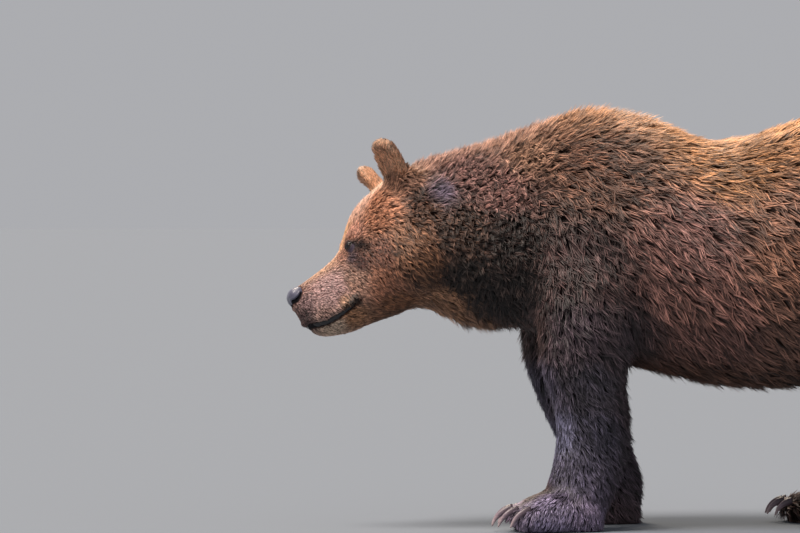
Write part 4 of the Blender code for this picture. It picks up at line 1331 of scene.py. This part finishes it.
@dataclass(frozen=True)
class Claw:
    """A claw: a long curved blade of horn, deeper than it is wide, flat below and keeled above."""

    foot: Foot
    toe: int
    toe_half: Triple = (0.034, 0.0190, 0.027)
    toe_level: float = 0.034
    arc_drop: float = 0.026
    splay: float = math.radians(8.0)
    root_radius: float = 0.0094
    tip_radius: float = 0.0018
    flatness: float = 0.70
    buried: float = 0.014
    level: float = 0.014
    dip: float = math.radians(6.0)
    curl: float = math.radians(66.0)
    rings: int = 15
    sides: int = 14
    clearance: float = 0.0025

    def build(self, finish: Material) -> Thing:
        """Builds the claw, which replaces its plain solid.

        Args:
            finish: The piece's material.

        Returns:
            The piece.
        """
        across = self.toe / 2 - 1.0
        middle = Vector((self.foot.reach - self.arc_drop * across**2, across * self.foot.half_width, self.toe_level))
        turn = Matrix.Rotation(self.splay * across, 4, "Z")
        place = self.foot.place() @ Matrix.Translation(middle) @ turn
        step = (self.foot.claw + self.buried) / (self.rings - 1)
        point = Vector((self.toe_half[0] * 0.8 - self.buried, 0.0, self.level))
        rings = []
        for i in range(self.rings):
            share = i / (self.rings - 1)
            dip = self.dip + self.curl * share
            up = Vector((math.sin(dip), 0.0, math.cos(dip)))
            radius = self.root_radius + (self.tip_radius - self.root_radius) * share**1.3
            ring = []
            for k in range(self.sides):
                angle = math.tau * k / self.sides
                wide = math.cos(angle) * radius * self.flatness
                high = math.sin(angle) * radius
                high *= 1.0 if high > 0 else 0.82
                ring.append(place @ (point + Vector((0, wide, 0)) + up * high))
            rings.append(ring)
            ahead = dip + self.curl * 0.5 / (self.rings - 1)
            point = point + Vector((math.cos(ahead), 0.0, -math.sin(ahead))) * step
        shape = bmesh.new()
        swept(shape, rings)
        lift = self.clearance - min(vert.co.z for vert in shape.verts)
        bmesh.ops.translate(shape, verts=shape.verts, vec=(0, 0, max(lift, 0.0)))
        along = np.repeat(np.linspace(0, 1, self.rings), self.sides)
        made = object_from(f"talon_{self.foot.name}_{self.toe + 1}", shape)
        put_attribute(made.data, "along", along[: len(made.data.vertices)])
        dress(made, finish)
        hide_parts(f"claw_{self.foot.name}_{self.toe + 1}")
        return made


# --------------------------------------------------------------------------- skin


@dataclass
class Skin:
    """The skin in one piece, sunk under the coat, with the folds, lids and lips of the face."""

    nodes: dict[str, Thing]
    coat: CoatMap
    eyes: tuple[Eye, ...]
    nose: Nose
    mouth: Mouth
    voxel: float = 0.0075
    soften: int = 9
    sink_steps: int = 6
    # How much of the hair's rise the skin sinks by.
    sink_share: float = 0.80
    deepest: float = 0.030
    # The share of its faces that the skin keeps before the face is refined.
    kept: float = 0.40
    # How much deeper the skin lies behind the nose pad.
    nose_bed: float = 0.004
    sole: float = 0.006
    bare_tint: str = "#141216"
    # The underfur has this share of the hair's root colour and of its tip colour, which keeps it dark as painted
    # shade in the gaps between the tufts. Where the hair grows longer than long_from, over long_span, the last share
    # of the tip colour is added.
    root_share: float = 0.50
    tip_share: float = 0.04
    long_share: float = 0.14
    long_from: float = 0.036
    long_span: float = 0.014
    # Long hair hides the skin behind this X of the head's frame and above this level.
    hidden_behind: float = -0.05
    hidden_above: float = 0.14
    # Where the skin sinks deeper than this it is evened on the way.
    evened_below: float = 0.008
    # Where the mesh is finer, in the head's frame: the face from this X and this far to each side, its
    # features from the next X, and the eyes as far round each one.
    face_from: float = -0.03
    face_half: float = 0.24
    features_from: float = 0.125
    eye_zone: float = 0.026
    thing: Thing = field(init=False)

    def build(self, finish: Material) -> Thing:
        """Builds the skin and gives it the coat's markings, darkened as painted shade for the gaps between the
        tufts.

        Args:
            finish: The piece's material.

        Returns:
            The piece.
        """
        self.thing = self.fused()
        self.sink()
        self.thin()
        self.unwrap()
        self.refine()
        self.shape_face()
        mesh = self.thing.data
        points = points_of(mesh)
        facts, _ = self.coat.read(points)
        long = np.clip((facts[:, 3:4] - self.long_from) / self.long_span, 0.0, 1.0)
        # The underfur's tint is kept dark as painted shade in the gaps between the tufts.
        tint = facts[:, 8:11] * self.root_share + facts[:, 11:14] * (self.tip_share + self.long_share * long)
        head = moved(points, TO_HEAD)
        tint[self.nose.bare(head)] = linear(self.bare_tint)
        tint[self.mouth.bare(head)] = linear(self.bare_tint)
        for eye in self.eyes:
            share = eye.lid_share(points)[:, None]
            tint = tint + (np.array(linear(eye.lid_tint)) - tint) * share
        put_attribute(mesh, "coat", tint)
        dress(self.thing, finish)
        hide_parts(*FLESH)
        return self.thing

    def fused(self) -> Thing:
        """Joins copies of the flesh and fuses them into one closed surface.

        Returns:
            The object, whose mesh has no finish yet.
        """
        shape = bmesh.new()
        for name in (*FLESH, "nose", "eye_left", "eye_right"):
            shape.from_mesh(self.nodes[name].data)
        bmesh.ops.remove_doubles(shape, verts=shape.verts, dist=1e-5)
        thing = object_from("skin", shape)
        fuse = thing.modifiers.new("fuse", "REMESH")
        fuse.mode = "VOXEL"
        fuse.voxel_size = self.voxel
        apply_modifiers(thing)
        mesh = thing.data
        points = points_of(mesh)
        head = moved(points, TO_HEAD)
        fine = fade(head[:, 0], -0.06, 0.04) * (np.linalg.norm(head, axis=1) < HEAD_REACH)
        fine = np.maximum(fine, fade(0.13 - points[:, 2], 0.0, 0.05))
        set_points(mesh, evened(mesh, relaxed(mesh, points, self.soften, 0.5 * (1 - fine)), 6, fine))
        return thing

    def sink(self) -> None:
        """Moves the skin inwards by the coat's depth, a little at a time."""
        mesh = self.thing.data
        start = points_of(mesh)
        facts, _ = self.coat.read(start)
        depth = np.minimum(facts[:, 3] * np.sin(facts[:, 4]) * self.sink_share, self.deepest)
        depth = depth + self.nose_bed * self.nose.bare(moved(start, TO_HEAD))
        on_floor = start[:, 2] < self.sole
        depth = relaxed(mesh, depth[:, None], 6)[:, 0]
        points = start
        for _ in range(self.sink_steps):
            inwards = relaxed(mesh, normals_of(mesh), 2)
            points = points - unit(inwards) * (depth / self.sink_steps)[:, None]
            even = relaxed(mesh, points, 1, 0.35)
            points = np.where(depth[:, None] > self.evened_below, even, points)
            points[on_floor, 2] = np.maximum(start[on_floor, 2], 0.0)
            set_points(mesh, points)

    def thin(self) -> None:
        """Gives the skin fewer faces where long hair hides it. The head and the feet keep theirs."""
        points = points_of(self.thing.data)
        head = moved(points, TO_HEAD)
        hidden = (head[:, 0] < self.hidden_behind) | (np.linalg.norm(head, axis=1) > HEAD_REACH)
        hidden &= points[:, 2] > self.hidden_above
        group = self.thing.vertex_groups.new(name="hidden")
        group.add(np.flatnonzero(hidden).tolist(), 1.0, "REPLACE")
        fewer = self.thing.modifiers.new("fewer", "DECIMATE")
        fewer.ratio = self.kept
        fewer.vertex_group = group.name
        apply_modifiers(self.thing)
        self.thing.vertex_groups.clear()

    def unwrap(self) -> None:
        """Unwraps the skin by its own shape, for the coat's bake map."""
        mesh = self.thing.data
        mesh.uv_layers.new(name=BAKE_MAP)
        bpy.context.view_layer.objects.active = self.thing
        self.thing.select_set(True)
        bpy.ops.object.mode_set(mode="EDIT")
        bpy.ops.mesh.select_all(action="SELECT")
        bpy.ops.uv.smart_project(angle_limit=math.radians(66.0), island_margin=0.002)
        bpy.ops.object.mode_set(mode="OBJECT")
        self.thing.select_set(False)

    def refine(self) -> None:
        """Gives the face a finer mesh, finest round the eyes."""
        shape = bmesh.new()
        shape.from_mesh(self.thing.data)
        for zone in Zone:
            picked = [face for face in shape.faces if self.wanted(TO_HEAD @ face.calc_center_median(), zone)]
            edges = list({edge for face in picked for edge in face.edges})
            bmesh.ops.subdivide_edges(shape, edges=edges, cuts=1, use_grid_fill=True, smooth=0.0)
        bmesh.ops.triangulate(shape, faces=[face for face in shape.faces if len(face.verts) > 4])
        shape.to_mesh(self.thing.data)
        shape.free()

    def wanted(self, spot: Vector, zone: Zone) -> bool:
        """Whether a face at this spot of the head's frame lies in the zone.

        Args:
            spot: The face's middle.
            zone: The zone.

        Returns:
            Whether it does.
        """
        if zone is Zone.FACE:
            return spot.x > self.face_from and spot.length < HEAD_REACH and abs(spot.y) < self.face_half
        if zone is Zone.FEATURES:
            return spot.x > self.features_from and spot.length < HEAD_REACH
        return any((spot - eye.side.of(eye.middle)).length < self.eye_zone for eye in self.eyes)

    def shape_face(self) -> None:
        """Presses the lids round the eyes, cuts the mouth and lays the folds."""
        mesh = self.thing.data
        points = points_of(mesh)
        head = moved(points, TO_HEAD)
        face = fade(head[:, 0], 0.02, 0.10) * (np.linalg.norm(head, axis=1) < HEAD_REACH)
        points = evened(mesh, points, 5, face)
        head = moved(points, TO_HEAD)
        set_points(mesh, points)
        normals = normals_of(mesh) @ np.array(HEAD_TURN)
        for fold in FOLDS:
            for side in Side:
                gap = ((head - np.array(side.of(fold.at))) ** 2).sum(1)
                head = head + normals * (fold.push * np.exp(-gap / fold.reach**2))[:, None]
        head = np.where(face[:, None] > 0, self.mouth.sculpt(head, normals), head)
        points = moved(head, HEAD)
        for eye in self.eyes:
            points = eye.press(points)
        set_points(mesh, points)

    def bare(self, points: Array) -> Array:
        """Which points carry no hair: nose, lips, eyes and soles.

        Args:
            points: Points on the skin.

        Returns:
            Whether each one is bare.
        """
        local = moved(points, TO_HEAD)
        made = self.nose.bare(local) | self.mouth.bare(local)
        for eye in self.eyes:
            made |= eye.bare(points)
        return made


# --------------------------------------------------------------------------- coat


# A tuft is two three-sided spikes, base to base, and closed. Its corners are its root, the left and
# right of its bend, its keel and its tip. These are its faces, and how far each corner lies from the
# root's colour to the tip's.
TUFT_FACES = np.array([(0, 2, 1), (0, 3, 2), (0, 1, 3), (4, 1, 2), (4, 2, 3), (4, 3, 1)], np.int32)
TUFT_ALONG = np.array([0.0, 0.38, 0.38, 0.55, 1.0])


@dataclass
class Coat:
    """The coat: solid tufts that overlap and lie along the body, gathered into locks."""

    skin: Skin
    coat: CoatMap
    # Tufts in one piece at most, with six faces each.
    most: int = 32500
    total: int = 249000
    bend: float = 0.42
    buried: float = 0.0012
    patch: float = 0.0015
    lock_size: int = 5
    lock_pull: float = 0.30
    # The random spread of the tufts' and the locks' brightness is partly the hair's own tone and partly painted
    # shade and glints among the tufts.
    shade: float = 0.42
    frizz_shade: float = 0.34
    lock_shade: float = 0.30
    frizz_lock: float = 0.30
    # How much of a tuft's curl it shares with its lock.
    together: float = 0.62
    # How much darker than its own colour the hair is at the root, where little light gets in.
    root_shade: float = 0.55
    # How far single tufts stray from what their place asks, as shares of it.
    length_spread: Span = (0.72, 1.18)
    lift_spread: Span = (0.75, 1.25)
    width_spread: Span = (0.75, 1.3)
    pull_spread: Span = (0.5, 1.3)
    # The sideways sway of straight hair, and what full frizz adds. The bend has a share of it.
    sway: Span = (0.14, 1.05)
    bend_sway: float = 0.6
    # Past its bend a tuft has this share of its lift and this much more with frizz, which also tosses it.
    droop: Span = (0.45, 0.5)
    toss: float = 0.50
    # A tuft joins a lock no farther off than this share of its length, and its bend is pulled less.
    lock_reach: float = 0.8
    bend_pull: float = 0.4
    # A tip rises above the skin by this share of its length at least, and stays above the floor.
    least_rise: float = 0.10
    tip_level: float = 0.0015
    bend_level: float = 0.0025
    # The keel's height as a share of half the width.
    keel: float = 0.7
    # A tuft's brightness, as the least and the greatest share of its own colour's.
    tones: Span = (0.22, 2.6)
    # Soles are bare: below this level, and facing down by this much.
    sole_level: float = 0.030
    sole_facing: float = -0.55

    def build(self, finish: Material) -> list[Thing]:
        """Grows every part of the coat.

        Args:
            finish: The hair's material.

        Returns:
            The pieces, one for each part.
        """
        random = np.random.default_rng(SEED)
        mesh = self.skin.thing.data
        mesh.calc_loop_triangles()
        corners, loops = (rows_of(mesh.loop_triangles, key, 3) for key in ("vertices", "loops"))
        uv = rows_of(mesh.uv_layers[BAKE_MAP].data, "uv", 2, np.float32)
        points, normals = points_of(mesh), relaxed(mesh, normals_of(mesh), 1)
        a, b, c = (points[corners[:, i]] for i in range(3))
        area = np.linalg.norm(np.cross(b - a, c - a), axis=1) / 2
        middle = (a + b + c) / 3
        facts, rule = self.coat.read(middle)
        facing = unit(np.cross(b - a, c - a))
        want = area * facts[:, 7] * SQUARE_CM
        want[(middle[:, 2] < self.sole_level) & (facing[:, 2] < self.sole_facing)] = 0.0
        want[self.skin.bare(middle)] = 0.0
        for index in range(len(Part)):
            want[rule == index] *= min(1.0, self.most / max(want[rule == index].sum(), 1.0))
        want *= min(1.0, self.total / want.sum())
        made = []
        for index, part in enumerate(Part):
            mine = np.where(rule == index)[0]
            if not len(mine):
                continue
            odds = want[mine]
            number = min(int(odds.sum()), self.most)
            picked = mine[random.choice(len(mine), number, p=odds / odds.sum())]
            share = random.random((number, 2))
            over = share.sum(1) > 1
            share[over] = 1 - share[over]
            weights = np.column_stack([1 - share.sum(1), share])
            roots = (points[corners[picked]] * weights[:, :, None]).sum(1)
            ups = unit((normals[corners[picked]] * weights[:, :, None]).sum(1))
            maps = (uv[loops[picked]] * weights[:, :, None]).sum(1)
            keep = ~self.skin.bare(roots)
            made.append(self.tufts(part, roots[keep], ups[keep], maps[keep], random, finish))
        return made

    def tufts(
        self,
        part: Part,
        roots: Array,
        ups: Array,
        maps: Array,
        random: np.random.Generator,
        finish: Material,
    ) -> Thing:
        """Grows one part of the coat.

        Args:
            part: Which.
            roots: Where the tufts stand on the skin.
            ups: The skin's normals there.
            maps: The roots' places on the unwrapped skin.
            random: The source of chance.
            finish: The hair's material.

        Returns:
            The piece.
        """
        count = len(roots)
        facts, _ = self.coat.read(roots)
        lie = facts[:, 0:3] - ups * (facts[:, 0:3] * ups).sum(1, keepdims=True)
        lie = unit(lie)
        side = np.cross(ups, lie)
        length = facts[:, 3] * random.uniform(*self.length_spread, count)
        lift = facts[:, 4] * random.uniform(*self.lift_spread, count)
        frizz, width = facts[:, 5], facts[:, 6] * random.uniform(*self.width_spread, count)
        leaders = random.choice(count, max(count // self.lock_size, 1), replace=False)
        tree = KDTree(len(leaders))
        for i, leader in enumerate(leaders):
            tree.insert(roots[leader], i)
        tree.balance()
        chief = leaders[np.array([tree.find(root)[1] for root in roots])]
        own = random.normal(0, 1, (count, 3))
        own = own * (1 - self.together) + own[chief] * self.together
        sway = own[:, :2] * (self.sway[0] + self.sway[1] * frizz)[:, None]
        swung = side * sway[:, :1] * self.bend_sway
        first = unit(lie * np.cos(lift)[:, None] + ups * np.sin(lift)[:, None] + swung)
        low = lift * (self.droop[0] + self.droop[1] * frizz)
        rise = np.sin(low) + own[:, 2] * self.toss * frizz
        second = unit(lie * np.cos(low)[:, None] + ups * rise[:, None] + side * sway[:, 1:])
        bends = roots + first * (length * self.bend)[:, None]
        tips = bends + second * (length * (1 - self.bend))[:, None]

        pull = (self.lock_pull * (1 + frizz) * random.uniform(*self.pull_spread, count))[:, None]
        pull = pull * (np.linalg.norm(roots[chief] - roots, axis=1) < length * self.lock_reach)[:, None]
        tips = tips + (tips[chief] - tips) * pull
        bends = bends + (bends[chief] - bends) * pull * self.bend_pull
        height = ((tips - roots) * ups).sum(1)
        tips += ups * np.maximum(length * self.least_rise - height, 0)[:, None]
        tips[:, 2] = np.maximum(tips[:, 2], self.tip_level)
        bends[:, 2] = np.maximum(bends[:, 2], self.bend_level)

        across = unit(np.cross(ups, tips - roots))
        above = unit(np.cross(tips - roots, across))
        half = (width / 2)[:, None]
        left, right = bends - across * half, bends + across * half
        keel = bends + above * half * self.keel
        base = roots - ups * self.buried
        rows = np.stack([base, left, right, keel, tips], 1)
        every = (TUFT_FACES[None] + 5 * np.arange(count, dtype=np.int32)[:, None, None]).reshape(-1, 3)

        # Each tuft's random brightness: partly its own tone, partly painted shade and glints among the hair.
        spread = self.shade + self.frizz_shade * frizz
        lock = ((self.lock_shade + self.frizz_lock * frizz) * random.normal(0, 1, count))[chief]
        tone = np.clip(np.exp(spread * random.normal(0, 1, count) + lock - spread**2 / 2), *self.tones)
        # The root colour is darkened by root_shade as painted shade.
        root_tint, tip_tint = facts[:, 8:11] * self.root_shade, facts[:, 11:14]
        tint = root_tint[:, None] + (tip_tint - root_tint)[:, None] * TUFT_ALONG[None, :, None]
        tint = tint * tone[:, None, None]
        # A tuft that would be brighter than white keeps its hue.
        tint = tint / np.maximum(tint.max(2, keepdims=True), 1.0)

        # Shading normals lean to the skin's own, which makes the tufts read as one soft coat.
        outer = [unit(ups * 0.3 + way) for way in (-across, across, above)]
        soft = np.stack([ups, *outer, unit(ups * 0.5 + above)], 1)
        corner = np.array([(0, 0), (-1, -0.3), (1, -0.3), (0, 0.1), (0, 1)]) * self.patch
        spots = maps[:, None] + corner[None]

        mesh = bpy.data.meshes.new(part.value)
        mesh.vertices.add(count * 5)
        mesh.vertices.foreach_set("co", rows.astype(np.float32).ravel())
        mesh.loops.add(len(every) * 3)
        mesh.loops.foreach_set("vertex_index", every.ravel())
        mesh.polygons.add(len(every))
        mesh.polygons.foreach_set("loop_start", np.arange(0, len(every) * 3, 3, dtype=np.int32))
        mesh.update(calc_edges=True)
        layer = mesh.uv_layers.new(name=BAKE_MAP)
        layer.data.foreach_set("uv", spots.reshape(-1, 2)[every.ravel()].astype(np.float32).ravel())
        put_attribute(mesh, "coat", tint.reshape(-1, 3))
        made = shown(part.value, mesh)
        dress(made, finish)
        mesh.normals_split_custom_set_from_vertices(unit(soft.reshape(-1, 3)).astype(np.float32))
        return made


# --------------------------------------------------------------------------- studio


@dataclass(frozen=True)
class Lamp:
    """A soft, distant lamp: where it comes from, how broad it looks and how strong it is."""

    name: str
    source: Triple
    breadth: float
    power: float
    colour: str = "#FFFFFF"

    def hang(self) -> None:
        """Adds the lamp to the scene."""
        light = bpy.data.lights.new(self.name, "SUN")
        light.angle = math.radians(self.breadth)
        light.energy = self.power
        light.color = linear(self.colour)
        made = bpy.data.objects.new(self.name, light)
        made.location = self.source
        made.rotation_euler = (-Vector(self.source)).to_track_quat("-Z", "Y").to_euler()
        bpy.context.scene.collection.objects.link(made)


@dataclass(frozen=True)
class Studio:
    """A pale floor, soft light and the camera."""

    target: Triple = (-0.565, 0.0, 0.560)
    distance: float = 12.0
    elevation: float = math.radians(1.0)
    view_width: float = 1.72
    floor: float = 60.0
    daylight: str = "#E6E7EC"
    sky_strength: float = 0.52
    lamps: tuple[Lamp, ...] = (
        Lamp("key", (-2.6, -2.0, 5.6), 26.0, 4.0, "#FFF4E8"),
        Lamp("rim", (-1.0, 3.0, 4.4), 22.0, 2.0, "#FFEFD8"),
    )

    def build(self) -> None:
        """Lays the floor, hangs the lamps and sets the camera."""
        shape = bmesh.new()
        bmesh.ops.create_grid(shape, x_segments=2, y_segments=2, size=self.floor)
        floor = object_from("floor", shape)
        floor.data.materials.append(FloorFinish("matt_studio_floor").material())
        world = bpy.data.worlds.new("daylight")
        world.use_nodes = True
        sky = world.node_tree.nodes["Background"]
        wire(world.node_tree, sky, Color=linear(self.daylight), Strength=self.sky_strength)
        bpy.context.scene.world = world
        bpy.context.scene.view_settings.view_transform = "Standard"
        for lamp in self.lamps:
            lamp.hang()
        camera = bpy.data.cameras.new("camera")
        camera.sensor_width = 36.0
        camera.lens = 36.0 * self.distance / self.view_width
        camera.clip_end = 200.0
        made = bpy.data.objects.new("camera", camera)
        back = Vector((0.0, -math.cos(self.elevation), math.sin(self.elevation)))
        made.location = Vector(self.target) + back * self.distance
        made.rotation_euler = (-back).to_track_quat("-Z", "Y").to_euler()
        bpy.context.scene.collection.objects.link(made)
        bpy.context.scene.camera = made


def main() -> None:
    """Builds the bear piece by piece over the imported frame."""
    logging.basicConfig(level=logging.INFO, format="%(name)s: %(message)s")
    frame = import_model()

    hair = HairFinish("guard_hair").material()
    # Partly the underfur's own colour, partly painted shade between the tufts.
    underfur_and_shade = UnderfurAndShadeFinish("undercoat_on_skin").material()
    leather = BareSkinFinish("nose_leather", "#3C3C4C", "#6C6A80", 0.42, 0.35).material()
    lip = BareSkinFinish("lip_skin", "#060507", "#19161D", 0.38, 0.25, 2.6, 0.0006).material()
    lid = BareSkinFinish("lid_skin", "#0E0A0B", "#1D1517", 0.38, 0.40, 1.0, 0.0002).material()
    wet = EyeFinish("wet_eye").material()
    horn = HornFinish("claw_horn").material()

    coat = CoatMap()
    eyes = tuple(Eye(side) for side in Side)
    nose, mouth = Nose(), Mouth()
    skin = Skin(frame["nodes"], coat, eyes, nose, mouth)
    skin.build(underfur_and_shade)
    for eye in eyes:
        eye.ball(wet)
        eye.rims(lid)
    nose.build(leather)
    tree = BVHTree.FromObject(skin.thing, bpy.context.evaluated_depsgraph_get())
    mouth.lips(tree, lip)
    for foot in FEET:
        for toe in range(5):
            Claw(foot, toe).build(horn)
    Coat(skin, coat).build(hair)
    Studio().build()


if __name__ == "__main__":
    main()
